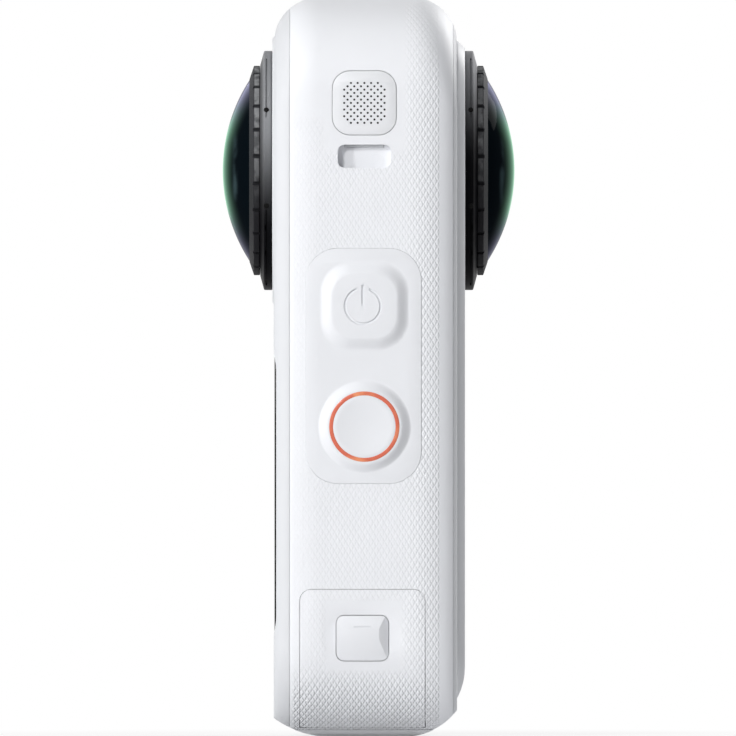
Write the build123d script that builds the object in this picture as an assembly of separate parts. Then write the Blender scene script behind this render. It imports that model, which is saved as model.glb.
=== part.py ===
"""A slim 360 degree camera: textured frame, two covers, a fisheye lens on each broad face, side keys,
a side door with its latch, and a battery module that slides out of the other side.

Millimetres. +Z is up, X is the width, Y runs from lens to lens, and the origin is the bottom centre.
The display faces -Y, which is the rear; the front lens faces +Y. The side door is on +X."""
from build123d import *
import os
from math import asin, cos, radians, sin, sqrt

# Whole body
BODY_WIDTH = 46.0
BODY_HEIGHT = 96.0
REAR_FACE_Y = -12.28
FRONT_FACE_Y = 11.47
OUTLINE_R = 12.1
ROUNDING_TOP = 5.84
ROUNDING_SIDE = 2.4
REAR_SEAM_Y = -10.2
FRONT_SEAM_Y = 11.0
ROUNDING_STEPS = 5
MIDDLE_Y = -0.55

# Curved foot of the body, seen from the side
FOOT_REAR_Y = -4.6
FOOT_REAR_R = 13.0
FOOT_FRONT_Y = 4.3
FOOT_FRONT_R = 9.0

# Walls and cavity
WALL = 2.4
CAVITY_TOP_DROP = 5.0
CAVITY_FLOOR_Z = 4.4
COVER_SKIN = 1.2
OVERRUN = 5.0

# Fits
FINE_GAP = 0.06
SEAM_GAP = 0.1
LOOSE_GAP = 0.3

# Raised plate of the front cover
PLATE_Y = 12.5
PLATE_SIDE_MARGIN = 2.6
PLATE_TOP_DROP = 5.6
PLATE_CORNER_R = 9.4
PLATE_EDGE_R = 0.35
PLATE_FOOT_Z = 9.2
PLATE_FOOT_R = 9.0
PLATE_BASE_Z = 4.0

# Lenses
LENS_DROP = 22.4
LENS_APEX = 19.0
PEDESTAL_R = 17.2
PEDESTAL_RISE = 0.22
BEZEL_R = 15.57
BEZEL_EDGE = 13.6
BEZEL_TOP = 14.1
BEZEL_TOP_R = 13.7
BEZEL_BORE_R = 12.75
BEZEL_NECK_R = 13.2
BEZEL_NECK_END = 10.4
GUARD_R = 13.63
GUARD_SHOULDER = 14.9
GUARD_TOP = 15.5
GUARD_LIP_R = 11.85
GUARD_SKIRT_R = 12.67
GUARD_SKIRT_END = 12.4
GUARD_BORE_R = 11.0
GUARD_NOTCHES = 24
GUARD_NOTCH_WIDTH = 0.42
GUARD_NOTCH_DEPTH = 0.4
GUARD_TWIST_GAP = 0.04
DOME_R = 11.8
DOME_THICKNESS = 1.3
DOME_EDGE = 1.1
SEAL_R = 14.3
SEAL_WIDTH = 0.9
SEAL_THICKNESS = 0.6
BARREL_R = 10.7
BARREL_TOP = 14.0
BARREL_STEP_R = 9.2
BARREL_STEP = 8.5
BARREL_WALL = 1.0
ELEMENT_R = 9.9
ELEMENT_SEAT = 12.8
ELEMENT_APEX = 17.2
ELEMENT_EDGE = 1.0
ELEMENT_BACK_R = 6.2
ELEMENT_BACK_DEPTH = 2.2
SENSOR_BOARD_SIZE = 24.0
SENSOR_BOARD_R = 2.0
SENSOR_BOARD_THICKNESS = 1.0
SENSOR_SIZE = 11.0
SENSOR_THICKNESS = 0.9
CHASSIS_THICKNESS = 2.8
CHASSIS_DROP = 13.2
CHASSIS_GAP = 0.25
CHASSIS_HOLE_R = 6.0
CHASSIS_SCREW_R = 0.9
CHASSIS_SCREW_HEAD_R = 1.6
CHASSIS_SCREW_HEAD = 0.7
CHASSIS_SCREW_LENGTH = 2.4
CHASSIS_SCREW_GAP = 1.4
CHASSIS_SCREW_RISE = 11.0

# Display
DISPLAY_SIDE_MARGIN = 1.7
DISPLAY_BASE_Z = 11.0
DISPLAY_DROP = 21.4
DISPLAY_CORNER_R = 4.6
GLASS_THICKNESS = 0.8
GLASS_RECESS = 0.09
GLASS_EDGE_R = 0.3
PANEL_THICKNESS = 1.7
WINDOW_MARGIN = 2.9

# Boards behind the display
BOARD_CHASSIS_Y = -8.1
BOARD_CHASSIS_THICKNESS = 0.8
BOARD_CHASSIS_DROP = 17.0
MAIN_BOARD_THICKNESS = 0.8
MAIN_BOARD_MARGIN = 2.6
MAIN_BOARD_BASE_Z = 10.0
MAIN_BOARD_DROP = 2.6
MAIN_BOARD_NOTCH_WIDTH = 12.0
MAIN_BOARD_NOTCH_HEIGHT = 6.0
SPREADER_WIDTH = 24.0
SPREADER_HEIGHT = 20.0
SPREADER_THICKNESS = 0.5
SPREADER_RAISE = 3.0
SPREADER_R = 1.5

# Key pad and keys on +X
PAD_WIDTH = 15.0
PAD_HEIGHT = 30.5
PAD_Y = -0.65
PAD_RAISE = 0.15
PAD_R = 4.2
PAD_THICKNESS = 1.2
POWER_OFFSET = 7.75
POWER_BASE = 11.6
POWER_BASE_R = 4.0
POWER_TOP = 8.4
POWER_TOP_R = 2.6
POWER_RISE = 0.85
SHUTTER_OFFSET = 7.85
SHUTTER_BASE_R = 6.0
SHUTTER_TOP_R = 4.0
SHUTTER_RISE = 1.0
SHUTTER_DISH = 0.25
RING_OUTER_R = 4.56
RING_WIDTH = 0.52
RING_DEPTH = 0.5
RING_RISE = 0.86
KEY_TRAVEL = 0.4
KEY_GAP = 0.08
KEY_ROOT = 0.7
STEM_R = 2.2
STEM_GAP = 0.15
STEM_END = 2.75
SWITCH_SIZE = 3.6
SWITCH_BODY = 0.9
SWITCH_DOME_R = 1.0
SWITCH_GAP = 0.08
BUTTON_BOARD_THICKNESS = 0.8
BUTTON_BOARD_WIDTH = 9.0
BUTTON_BOARD_HEIGHT = 24.0
BRACKET_THICKNESS = 0.8
BRACKET_FOOT = 5.0

# Microphone plate and sound slot
GRILLE_SIZE = 8.28
GRILLE_R = 2.3
GRILLE_DROP = 13.8
GRILLE_THICKNESS = 0.6
GRILLE_ROWS = 13
GRILLE_WIDE_ROW = 7
GRILLE_END_ROW = 5
GRILLE_PITCH_Y = 0.87
GRILLE_PITCH_Z = 0.43
GRILLE_HOLE_R = 0.14
MIC_SIZE_Y = 4.0
MIC_SIZE_Z = 3.0
MIC_DEPTH = 2.0
MIC_PORT_R = 0.9
SLOT_WIDTH = 6.9
SLOT_HEIGHT = 3.0
SLOT_R = 0.9
SLOT_DROP = 20.7
SLOT_DEPTH = 1.3
BAFFLE_MARGIN = 1.0
BAFFLE_THICKNESS = 1.1
BAFFLE_SLIT = 0.4
SPEAKER_WIDTH = 9.0
SPEAKER_HEIGHT = 7.0
SPEAKER_DEPTH = 3.4
SPEAKER_R = 1.5
SPEAKER_CONE_R = 2.6
SPEAKER_CONE_DEPTH = 0.6

# Side door on +X, hinged at the foot
DOOR_REAR_Y = -8.9
DOOR_FRONT_Y = 7.3
DOOR_TOP_Z = 19.2
DOOR_CORNER_R = 1.5
DOOR_SKIN = 1.3
HINGE_ANGLE = 30.0
HINGE_INSET = 1.3
KNUCKLE_R = 1.4
PIN_R = 0.5
PIN_REACH = 1.2
HINGE_FIT = 0.04
PORT_MARGIN = 1.6
PORT_BASE_Z = 5.3
PORT_TOP_Z = 17.4
PORT_R = 1.6
PORT_DEPTH = 10.6
TUB_WALL = 0.9
DOOR_BOSS_DEPTH = 1.5
DOOR_BOSS_WALL = 1.2
DOOR_SEAL_WIDTH = 0.7
DOOR_SEAL_DEPTH = 0.8
LATCH_WIDTH = 6.65
LATCH_BASE_Z = 10.05
LATCH_TOP_Z = 15.8
LATCH_Y = -0.8
LATCH_R = 1.0
LATCH_CREST = 0.35
LATCH_CREST_SHARE = 0.6
LATCH_DEPTH = 1.4
LATCH_GAP = 0.14
LATCH_PIVOT_DEPTH = 0.9
LATCH_PIVOT_R = 0.35
LATCH_PIVOT_LENGTH = 0.5
DISH_MARGIN = 1.6
DISH_DEPTH = 0.25
LATCH_SPRING_THICKNESS = 0.2
LATCH_SPRING_WIDTH = 3.0

# Connectors behind the side door
USB_WIDTH = 8.94
USB_HEIGHT = 3.26
USB_R = 1.6
USB_WALL = 0.32
USB_LENGTH = 7.0
USB_Z = 14.1
USB_TONGUE_WIDTH = 6.7
USB_TONGUE_THICKNESS = 0.7
READER_WIDTH = 11.6
READER_HEIGHT = 1.9
READER_WALL = 0.3
READER_LENGTH = 8.0
READER_Z = 8.6

# Battery module on -X
BATTERY_BASE_Z = 9.4
BATTERY_DROP = 16.6
BATTERY_COVER_WIDTH = 16.2
BATTERY_COVER_R = 3.6
BATTERY_SKIN = 1.4
BATTERY_MARGIN = 1.6
CELL_CLEARANCE = 6.0
CELL_R = 1.2
CELL_GROOVE = 0.5
CELL_GROOVE_SHARES = (0.15, 0.85)
TRAY_WALL = 0.8
TRAY_GAP = 0.15
BATTERY_SEAL_WIDTH = 0.6
BATTERY_SEAL_DEPTH = 1.0
LATCH_SLIDER_WIDTH = 7.0
LATCH_SLIDER_HEIGHT = 4.0
LATCH_SLIDER_TRAVEL = 1.2
LATCH_SLIDER_R = 0.8
LATCH_SLIDER_INSET = 3.4
LATCH_SLIDER_DEPTH = 0.9
LATCH_RIBS = 3
LATCH_RIB_WIDTH = 0.4
LATCH_RIB_PITCH = 0.9
CONTACT_COUNT = 4
CONTACT_PITCH = 2.0
CONTACT_SIZE = 1.0
CONTACT_BLOCK_DEPTH = 1.6
CONTACT_BLOCK_HEIGHT = 9.0
CONTACT_DROP = 13.0

# Base
BASE_PLATE_THICKNESS = 0.95
BUSH_BORE_R = 3.175
BUSH_R = 4.6
BUSH_FLANGE_R = 6.0
BUSH_FLANGE = 0.9
BUSH_TOP_Z = 7.2
BUSH_HOLE_DEPTH = 6.2
BASE_SCREW_R = 0.8
BASE_SCREW_HEAD_R = 1.4
BASE_SCREW_HEAD = 0.8
BASE_SCREW_LENGTH = 3.0
BASE_SCREW_X = 8.6
BASE_SCREW_Y = 2.8
BASE_SCREW_SLOT = 0.35

# Worked out from the sizes above
HALF_WIDTH = BODY_WIDTH / 2
CORNER_X = HALF_WIDTH - OUTLINE_R
REAR_ROUND_Y = REAR_FACE_Y + ROUNDING_TOP
FRONT_ROUND_Y = FRONT_FACE_Y - ROUNDING_TOP
CAVITY_HALF = HALF_WIDTH - WALL
CAVITY_TOP_Z = BODY_HEIGHT - CAVITY_TOP_DROP
CAVITY_R = OUTLINE_R - WALL
LENS_Z = BODY_HEIGHT - LENS_DROP
CHASSIS_BASE_Z = LENS_Z - CHASSIS_DROP
CHASSIS_SCREW_X = SENSOR_BOARD_SIZE / 2 + CHASSIS_SCREW_HEAD_R + CHASSIS_SCREW_GAP
DISPLAY_WIDTH = BODY_WIDTH - 2 * DISPLAY_SIDE_MARGIN
DISPLAY_TOP_Z = LENS_Z - DISPLAY_DROP
BOARD_CHASSIS_TOP_Z = LENS_Z - BOARD_CHASSIS_DROP
MAIN_BOARD_TOP_Z = BOARD_CHASSIS_TOP_Z - MAIN_BOARD_DROP
SPREADER_Z = (MAIN_BOARD_BASE_Z + MAIN_BOARD_TOP_Z) / 2 + SPREADER_RAISE
PAD_Z = BODY_HEIGHT / 2 + PAD_RAISE
POWER_Z = PAD_Z + POWER_OFFSET
SHUTTER_Z = PAD_Z - SHUTTER_OFFSET
GRILLE_Z = BODY_HEIGHT - GRILLE_DROP
SLOT_Z = BODY_HEIGHT - SLOT_DROP
PORT_BACK_X = HALF_WIDTH - PORT_DEPTH
BATTERY_TOP_Z = LENS_Z - BATTERY_DROP
CONTACT_Z = BATTERY_TOP_Z - CONTACT_DROP
DOME_SAG = LENS_APEX - GUARD_TOP
DOME_SPHERE_R = (DOME_R**2 + DOME_SAG**2) / (2 * DOME_SAG)
PIN_X = CORNER_X + (OUTLINE_R - HINGE_INSET) * sin(radians(HINGE_ANGLE))
PIN_Z = OUTLINE_R - (OUTLINE_R - HINGE_INSET) * cos(radians(HINGE_ANGLE))
REAR_PEDESTAL_Y = REAR_FACE_Y - PEDESTAL_RISE
TUB_REAR_Y = BOARD_CHASSIS_Y + BOARD_CHASSIS_THICKNESS
BATTERY_HALF = BATTERY_COVER_WIDTH / 2
CELL_DEPTH = HALF_WIDTH - CELL_CLEARANCE
SWITCH_TOP_X = HALF_WIDTH - STEM_END - KEY_TRAVEL - SWITCH_GAP
BUTTON_BOARD_X = SWITCH_TOP_X - SWITCH_BODY - BUTTON_BOARD_THICKNESS
BUTTON_BOARD_TOP_Z = PAD_Z + BUTTON_BOARD_HEIGHT / 2


def outline(y, side_inset=0.0, top_inset=0.0, base_z=0.0):
    """The body's front outline as a face in the plane at y, inset at the sides and the top."""
    width = BODY_WIDTH - 2 * side_inset
    height = BODY_HEIGHT - top_inset - base_z
    face = Pos(0, base_z + height / 2) * Rectangle(width, height)
    face = fillet(face.vertices().group_by(Axis.Y)[-1], OUTLINE_R - (side_inset + top_inset) / 2)
    face = fillet(face.vertices().group_by(Axis.Y)[0], OUTLINE_R - max(side_inset, base_z))
    return Plane.XZ.offset(-y) * face


def rounded_end(start_y, end_y):
    """One end of the body, where its sides and its top round off towards a broad face."""
    sections = []
    for step in range(ROUNDING_STEPS + 1):
        angle = radians(90) * step / ROUNDING_STEPS
        y = start_y + (end_y - start_y) * sin(angle)
        fall = 1 - cos(angle)
        sections.append(outline(y, ROUNDING_SIDE * fall, ROUNDING_TOP * fall))
    return loft(sections)


def foot_curve():
    """What lies under the body's curved foot, as a bar along X."""
    low_z = -OVERRUN
    rear_y = REAR_FACE_Y - OVERRUN
    front_y = PLATE_Y + OVERRUN
    rear_rise = FOOT_REAR_R - sqrt(FOOT_REAR_R**2 - (FOOT_REAR_Y - REAR_FACE_Y + PEDESTAL_RISE) ** 2)
    front_rise = FOOT_FRONT_R - sqrt(FOOT_FRONT_R**2 - (PLATE_Y - FOOT_FRONT_Y) ** 2)
    rear_edge = (REAR_FACE_Y - PEDESTAL_RISE, rear_rise)
    front_edge = (PLATE_Y, front_rise)
    rear_mid = arc_middle(FOOT_REAR_Y, FOOT_REAR_R, rear_edge[0])
    front_mid = arc_middle(FOOT_FRONT_Y, FOOT_FRONT_R, front_edge[0])
    line = Polyline((rear_y, low_z), (front_y, low_z), (front_y, front_rise), front_edge)
    line += ThreePointArc(front_edge, front_mid, (FOOT_FRONT_Y, 0))
    line += Line((FOOT_FRONT_Y, 0), (FOOT_REAR_Y, 0))
    line += ThreePointArc((FOOT_REAR_Y, 0), rear_mid, rear_edge)
    line += Polyline(rear_edge, (rear_y, rear_rise), (rear_y, low_z))
    return extrude(Plane.YZ * make_face(line), amount=BODY_WIDTH, both=True)


def arc_middle(flat_y, radius, edge_y):
    """A point half way along a foot arc that leaves the flat at flat_y and ends at edge_y."""
    half = asin(abs(edge_y - flat_y) / radius) / 2
    side = 1 if edge_y > flat_y else -1
    return (flat_y + side * radius * sin(half), radius * (1 - cos(half)))


def make_envelope():
    """The closed outer form of the body, without the raised plate."""
    middle = extrude(outline(REAR_ROUND_Y), amount=REAR_ROUND_Y - FRONT_ROUND_Y)
    rear = rounded_end(REAR_ROUND_Y, REAR_FACE_Y)
    front = rounded_end(FRONT_ROUND_Y, FRONT_FACE_Y)
    return middle + rear + front - foot_curve()


def slab(low_y, high_y):
    """A block across the whole body between two depths."""
    size = BODY_HEIGHT + 2 * OVERRUN
    block = Box(size, high_y - low_y, size, align=(Align.CENTER, Align.MIN, Align.CENTER))
    return Pos(0, low_y, BODY_HEIGHT / 2) * block


def span_box(low, high):
    """A box between two corners."""
    size = [b - a for a, b in zip(low, high)]
    return Pos(*low) * Box(*size, align=(Align.MIN, Align.MIN, Align.MIN))


def side_prism(width, height, radius, y, z, low_x, high_x):
    """A rounded bar along X, centred on y and z."""
    face = Plane.YZ.offset(low_x) * Pos(y, z) * RectangleRounded(width, height, radius)
    return extrude(face, amount=high_x - low_x)


def broad_prism(width, height, radius, z, low_y, high_y):
    """A rounded bar along Y, centred on z."""
    face = Plane.XZ.offset(-low_y) * Pos(0, z) * RectangleRounded(width, height, radius)
    return extrude(face, amount=low_y - high_y)


def turned(points, side):
    """A solid of revolution about the lens axis from (radius, depth) points; side is 1 front, -1 rear."""
    face = make_face(Polyline(*points, close=True))
    solid = revolve(Plane.XY * face, axis=Axis.Y)
    solid = Pos(0, 0, LENS_Z) * solid
    return solid if side > 0 else mirror(solid, about=Plane.XZ)


def lens_disc(radius, low, high, side):
    """A disc on the lens axis between two depths."""
    return turned([(0, low), (radius, low), (radius, high), (0, high)], side)


def cap(radius, edge, apex, back, side):
    """A lens with a spherical front from edge to apex and a flat back at depth back."""
    sag = apex - edge
    sphere_r = (radius**2 + sag**2) / (2 * sag)
    half = asin(radius / sphere_r) / 2
    middle = (sphere_r * sin(half), apex - sphere_r * (1 - cos(half)))
    line = Polyline((0, apex), (0, back), (radius, back), (radius, edge))
    line += ThreePointArc((radius, edge), middle, (0, apex))
    solid = Pos(0, 0, LENS_Z) * revolve(make_face(line), axis=Axis.Y)
    return solid if side > 0 else mirror(solid, about=Plane.XZ)


def cavity(low_y, high_y):
    """The frame's inner space between two depths."""
    height = CAVITY_TOP_Z - CAVITY_FLOOR_Z
    middle_z = (CAVITY_TOP_Z + CAVITY_FLOOR_Z) / 2
    return broad_prism(2 * CAVITY_HALF, height, CAVITY_R, middle_z, low_y, high_y)


def door_face(gap=0.0):
    """The side door's outline in the Y-Z plane, grown by gap."""
    width = DOOR_FRONT_Y - DOOR_REAR_Y + 2 * gap
    low_z = -OVERRUN
    height = DOOR_TOP_Z + gap - low_z
    face = Pos((DOOR_FRONT_Y + DOOR_REAR_Y) / 2, low_z + height / 2) * Rectangle(width, height)
    return fillet(face.vertices().group_by(Axis.Y)[-1], DOOR_CORNER_R + gap)


def offset_core(inset):
    """The body's straight middle, inset all round, for walls that follow the outline."""
    start = REAR_FACE_Y - OVERRUN
    length = PLATE_Y - REAR_FACE_Y + 2 * OVERRUN
    face = outline(start, inset, inset, inset)
    return extrude(face, amount=-length)


def hinge_bar(radius, low_y, high_y):
    """A round bar on the door's hinge axis."""
    face = Plane.XZ.offset(-low_y) * Pos(PIN_X, PIN_Z) * Circle(radius)
    return extrude(face, amount=low_y - high_y)


def door_blank(envelope, gap, skin):
    """The door's skin: the body's own surface inside the door's outline, down to the hinge."""
    prism = extrude(Plane.YZ.offset(PIN_X) * door_face(gap), amount=HALF_WIDTH)
    shell = prism & envelope - offset_core(skin)
    knuckle = hinge_bar(KNUCKLE_R + gap, DOOR_REAR_Y - gap, DOOR_FRONT_Y + gap)
    return shell + (knuckle & envelope)


def port_prism(margin, low_x, high_x):
    """The opening behind the door, inset by margin."""
    width = DOOR_FRONT_Y - DOOR_REAR_Y - 2 * PORT_MARGIN - 2 * margin
    height = PORT_TOP_Z - PORT_BASE_Z - 2 * margin
    middle_y = (DOOR_FRONT_Y + DOOR_REAR_Y) / 2
    middle_z = (PORT_TOP_Z + PORT_BASE_Z) / 2
    radius = max(PORT_R - margin, PORT_R / 4)
    return side_prism(width, height, radius, middle_y, middle_z, low_x, high_x)


def battery_prism(margin, radius, low_x, high_x):
    """The battery module's outline, inset by margin."""
    width = BATTERY_COVER_WIDTH - 2 * margin
    height = BATTERY_TOP_Z - BATTERY_BASE_Z - 2 * margin
    middle_z = (BATTERY_TOP_Z + BATTERY_BASE_Z) / 2
    return side_prism(width, height, radius, MIDDLE_Y, middle_z, low_x, high_x)


def base_screw_places():
    """Where the four base screws go."""
    return [(x, y) for x in (-BASE_SCREW_X, BASE_SCREW_X) for y in (-BASE_SCREW_Y, BASE_SCREW_Y)]


def make_mid_frame(envelope):
    """The textured middle frame: a tube along Y with every opening of the sides and the foot."""
    frame = envelope & slab(REAR_SEAM_Y, FRONT_SEAM_Y)
    start = REAR_SEAM_Y - OVERRUN
    end = FRONT_SEAM_Y + OVERRUN
    frame -= cavity(start, end)
    frame -= span_box((-BODY_WIDTH, start, -OVERRUN), (BODY_WIDTH, end, BASE_PLATE_THICKNESS))
    outer = HALF_WIDTH + OVERRUN
    frame -= side_prism(
        PAD_WIDTH + 2 * FINE_GAP,
        PAD_HEIGHT + 2 * FINE_GAP,
        PAD_R + FINE_GAP,
        PAD_Y,
        PAD_Z,
        HALF_WIDTH - PAD_THICKNESS,
        outer,
    )
    for z in (POWER_Z, SHUTTER_Z):
        frame -= Plane.YZ * Pos(MIDDLE_Y, z, HALF_WIDTH - WALL) * Cylinder(STEM_R + STEM_GAP, 2 * WALL)
    grille = GRILLE_SIZE + 2 * FINE_GAP
    frame -= side_prism(
        grille, grille, GRILLE_R + FINE_GAP, MIDDLE_Y, GRILLE_Z, HALF_WIDTH - 2 * GRILLE_THICKNESS, outer
    )
    frame -= Plane.YZ * Pos(MIDDLE_Y, GRILLE_Z, HALF_WIDTH - WALL) * Cylinder(MIC_PORT_R, 2 * WALL)
    frame -= side_prism(SLOT_WIDTH, SLOT_HEIGHT, SLOT_R, MIDDLE_Y, SLOT_Z, CAVITY_HALF - WALL, outer)
    frame -= side_prism(
        SLOT_WIDTH + 2 * BAFFLE_MARGIN,
        SLOT_HEIGHT + 2 * BAFFLE_MARGIN,
        SLOT_R,
        MIDDLE_Y,
        SLOT_Z,
        CAVITY_HALF - WALL,
        HALF_WIDTH - SLOT_DEPTH,
    )
    frame -= door_blank(envelope, SEAM_GAP, DOOR_SKIN + SEAM_GAP)
    frame -= port_prism(0, PORT_BACK_X, outer)
    frame -= hinge_bar(PIN_R, DOOR_REAR_Y - PIN_REACH, DOOR_FRONT_Y + PIN_REACH)
    skin = battery_prism(-SEAM_GAP, BATTERY_COVER_R + SEAM_GAP, -outer, -CAVITY_HALF + OVERRUN)
    frame -= skin - offset_core(BATTERY_SKIN + SEAM_GAP)
    frame -= battery_prism(BATTERY_MARGIN, CELL_R, -outer, -CAVITY_HALF + WALL)
    frame -= Cylinder(BUSH_R, 2 * BUSH_TOP_Z)
    for x, y in base_screw_places():
        frame -= Pos(x, y, 0) * Cylinder(BASE_SCREW_R, 2 * BASE_SCREW_LENGTH)
    return frame


def make_display_cover(envelope):
    """The rear cover, with the lens hole on a raised round pedestal and the display's recess."""
    cover = envelope & slab(REAR_FACE_Y - OVERRUN, REAR_SEAM_Y)
    cover += lens_disc(PEDESTAL_R, -REAR_SEAM_Y + COVER_SKIN, -REAR_PEDESTAL_Y, -1)
    cover -= lens_disc(BEZEL_NECK_R + FINE_GAP, 0, LENS_APEX, -1)
    height = DISPLAY_TOP_Z - DISPLAY_BASE_Z
    middle_z = (DISPLAY_TOP_Z + DISPLAY_BASE_Z) / 2
    glass_y = REAR_FACE_Y + GLASS_RECESS
    seat_y = glass_y + GLASS_THICKNESS
    gap = FINE_GAP
    cover -= broad_prism(
        DISPLAY_WIDTH + 2 * gap, height + 2 * gap, DISPLAY_CORNER_R + gap, middle_z, glass_y - OVERRUN, seat_y
    )
    window = WINDOW_MARGIN
    return cover - broad_prism(
        DISPLAY_WIDTH - 2 * window,
        height - 2 * window,
        DISPLAY_CORNER_R - window / 2,
        middle_z,
        REAR_FACE_Y - OVERRUN,
        REAR_SEAM_Y + OVERRUN,
    )


def make_display():
    """The display's glass, with softened edges, and the panel bonded behind it."""
    height = DISPLAY_TOP_Z - DISPLAY_BASE_Z
    middle_z = (DISPLAY_TOP_Z + DISPLAY_BASE_Z) / 2
    glass_y = REAR_FACE_Y + GLASS_RECESS
    seat_y = glass_y + GLASS_THICKNESS
    glass = broad_prism(DISPLAY_WIDTH, height, DISPLAY_CORNER_R, middle_z, glass_y, seat_y)
    glass = fillet(glass.faces().sort_by(Axis.Y)[0].edges(), GLASS_EDGE_R)
    margin = WINDOW_MARGIN + FINE_GAP
    panel = broad_prism(
        DISPLAY_WIDTH - 2 * margin,
        height - 2 * margin,
        DISPLAY_CORNER_R - margin / 2,
        middle_z,
        seat_y,
        seat_y + PANEL_THICKNESS,
    )
    return glass, panel


def make_lens_cover(envelope):
    """The front cover: a thin skin from the seam, and the raised plate that carries the front lens."""
    cover = envelope & slab(FRONT_SEAM_Y, FRONT_FACE_Y + OVERRUN)
    width = BODY_WIDTH - 2 * PLATE_SIDE_MARGIN
    top_z = BODY_HEIGHT - PLATE_TOP_DROP
    height = top_z - PLATE_BASE_Z
    middle_z = (top_z + PLATE_BASE_Z) / 2
    plate = broad_prism(width, height, PLATE_CORNER_R, middle_z, FRONT_SEAM_Y, PLATE_Y)
    plate = fillet(plate.faces().sort_by(Axis.Y)[-1].edges(), PLATE_EDGE_R)
    foot = Plane.YZ * Pos(PLATE_Y - PLATE_FOOT_R, PLATE_FOOT_Z) * Circle(PLATE_FOOT_R)
    tongue = Plane.YZ * Pos(PLATE_Y - PLATE_FOOT_R, PLATE_FOOT_Z + height) * Rectangle(
        2 * PLATE_FOOT_R, 2 * height
    )
    plate &= extrude(foot, amount=BODY_WIDTH, both=True) + extrude(tongue, amount=BODY_WIDTH, both=True)
    cover += plate - foot_curve()
    return cover - lens_disc(BEZEL_NECK_R + FINE_GAP, 0, LENS_APEX, 1)


def make_lens(side):
    """One fisheye lens: bezel with its seal, twist-off guard ring and dome, barrel, element and sensor."""
    seat = PLATE_Y if side > 0 else -REAR_PEDESTAL_Y
    bezel = turned(
        [
            (BEZEL_BORE_R, BEZEL_NECK_END),
            (BEZEL_NECK_R, BEZEL_NECK_END),
            (BEZEL_NECK_R, seat),
            (BEZEL_R, seat),
            (BEZEL_R, BEZEL_EDGE),
            (BEZEL_TOP_R, BEZEL_TOP),
            (BEZEL_BORE_R, BEZEL_TOP),
        ],
        side,
    )
    seal_in = SEAL_R - SEAL_WIDTH / 2
    seal_out = SEAL_R + SEAL_WIDTH / 2
    seal_top = seat + SEAL_THICKNESS
    seal = turned([(seal_in, seat), (seal_out, seat), (seal_out, seal_top), (seal_in, seal_top)], side)
    bezel -= seal
    rest = BEZEL_TOP + GUARD_TWIST_GAP
    guard = turned(
        [
            (GUARD_BORE_R, GUARD_SKIRT_END),
            (GUARD_SKIRT_R, GUARD_SKIRT_END),
            (GUARD_SKIRT_R, rest),
            (GUARD_R, rest),
            (GUARD_R, GUARD_SHOULDER),
            (GUARD_LIP_R + FINE_GAP, GUARD_TOP),
            (DOME_R, GUARD_TOP),
            (DOME_R, GUARD_TOP - DOME_EDGE),
            (GUARD_BORE_R, GUARD_TOP - DOME_EDGE),
        ],
        side,
    )
    along = (Align.CENTER, Align.MIN, Align.CENTER)
    notch = Box(2 * GUARD_NOTCH_DEPTH, GUARD_TOP, GUARD_NOTCH_WIDTH, align=along)
    for index in range(GUARD_NOTCHES):
        turn = Rot(0, 360 * (index + 0.5) / GUARD_NOTCHES, 0)
        cut = Pos(0, 0, LENS_Z) * turn * Pos(GUARD_R, rest, 0) * notch
        guard -= cut if side > 0 else mirror(cut, about=Plane.XZ)
    dome = cap(DOME_R, GUARD_TOP, LENS_APEX, GUARD_TOP - DOME_EDGE, side)
    inner_r = GUARD_BORE_R
    inner_apex = LENS_APEX - DOME_THICKNESS
    inner_edge = inner_apex - (DOME_SPHERE_R - sqrt(DOME_SPHERE_R**2 - inner_r**2))
    dome -= cap(inner_r, inner_edge, inner_apex, 0, side)
    board_face = CHASSIS_THICKNESS / 2 + SENSOR_BOARD_THICKNESS
    barrel = turned(
        [
            (0, board_face + SENSOR_THICKNESS + BARREL_WALL),
            (BARREL_STEP_R - BARREL_WALL, board_face + SENSOR_THICKNESS + BARREL_WALL),
            (BARREL_STEP_R - BARREL_WALL, board_face),
            (BARREL_STEP_R, board_face),
            (BARREL_STEP_R, BARREL_STEP),
            (BARREL_R, BARREL_STEP),
            (BARREL_R, BARREL_TOP),
            (ELEMENT_R, BARREL_TOP),
            (ELEMENT_R, ELEMENT_SEAT),
            (0, ELEMENT_SEAT),
        ],
        side,
    )
    barrel -= lens_disc(ELEMENT_BACK_R, ELEMENT_SEAT - ELEMENT_BACK_DEPTH, ELEMENT_SEAT, side)
    element = cap(ELEMENT_R, ELEMENT_SEAT + ELEMENT_EDGE, ELEMENT_APEX, ELEMENT_SEAT, side)
    low = CHASSIS_THICKNESS / 2
    rear_low, rear_high = -board_face, -low
    low_y, high_y = (low, board_face) if side > 0 else (rear_low, rear_high)
    board = broad_prism(SENSOR_BOARD_SIZE, SENSOR_BOARD_SIZE, SENSOR_BOARD_R, LENS_Z, low_y, high_y)
    chip = Box(SENSOR_SIZE, SENSOR_THICKNESS, SENSOR_SIZE)
    board += Pos(0, side * (board_face + SENSOR_THICKNESS / 2), LENS_Z) * chip
    name = "front" if side > 0 else "rear"
    return {
        f"{name}_lens_bezel": bezel,
        f"{name}_lens_seal": seal,
        f"{name}_guard_ring": guard,
        f"{name}_guard_dome": dome,
        f"{name}_lens_barrel": barrel,
        f"{name}_lens_element": element,
        f"{name}_sensor_board": board,
    }


def chassis_screw_places():
    """Where the lens chassis's screws go."""
    return [
        (x, LENS_Z + z)
        for x in (-CHASSIS_SCREW_X, CHASSIS_SCREW_X)
        for z in (-CHASSIS_SCREW_RISE, CHASSIS_SCREW_RISE)
    ]


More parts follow.
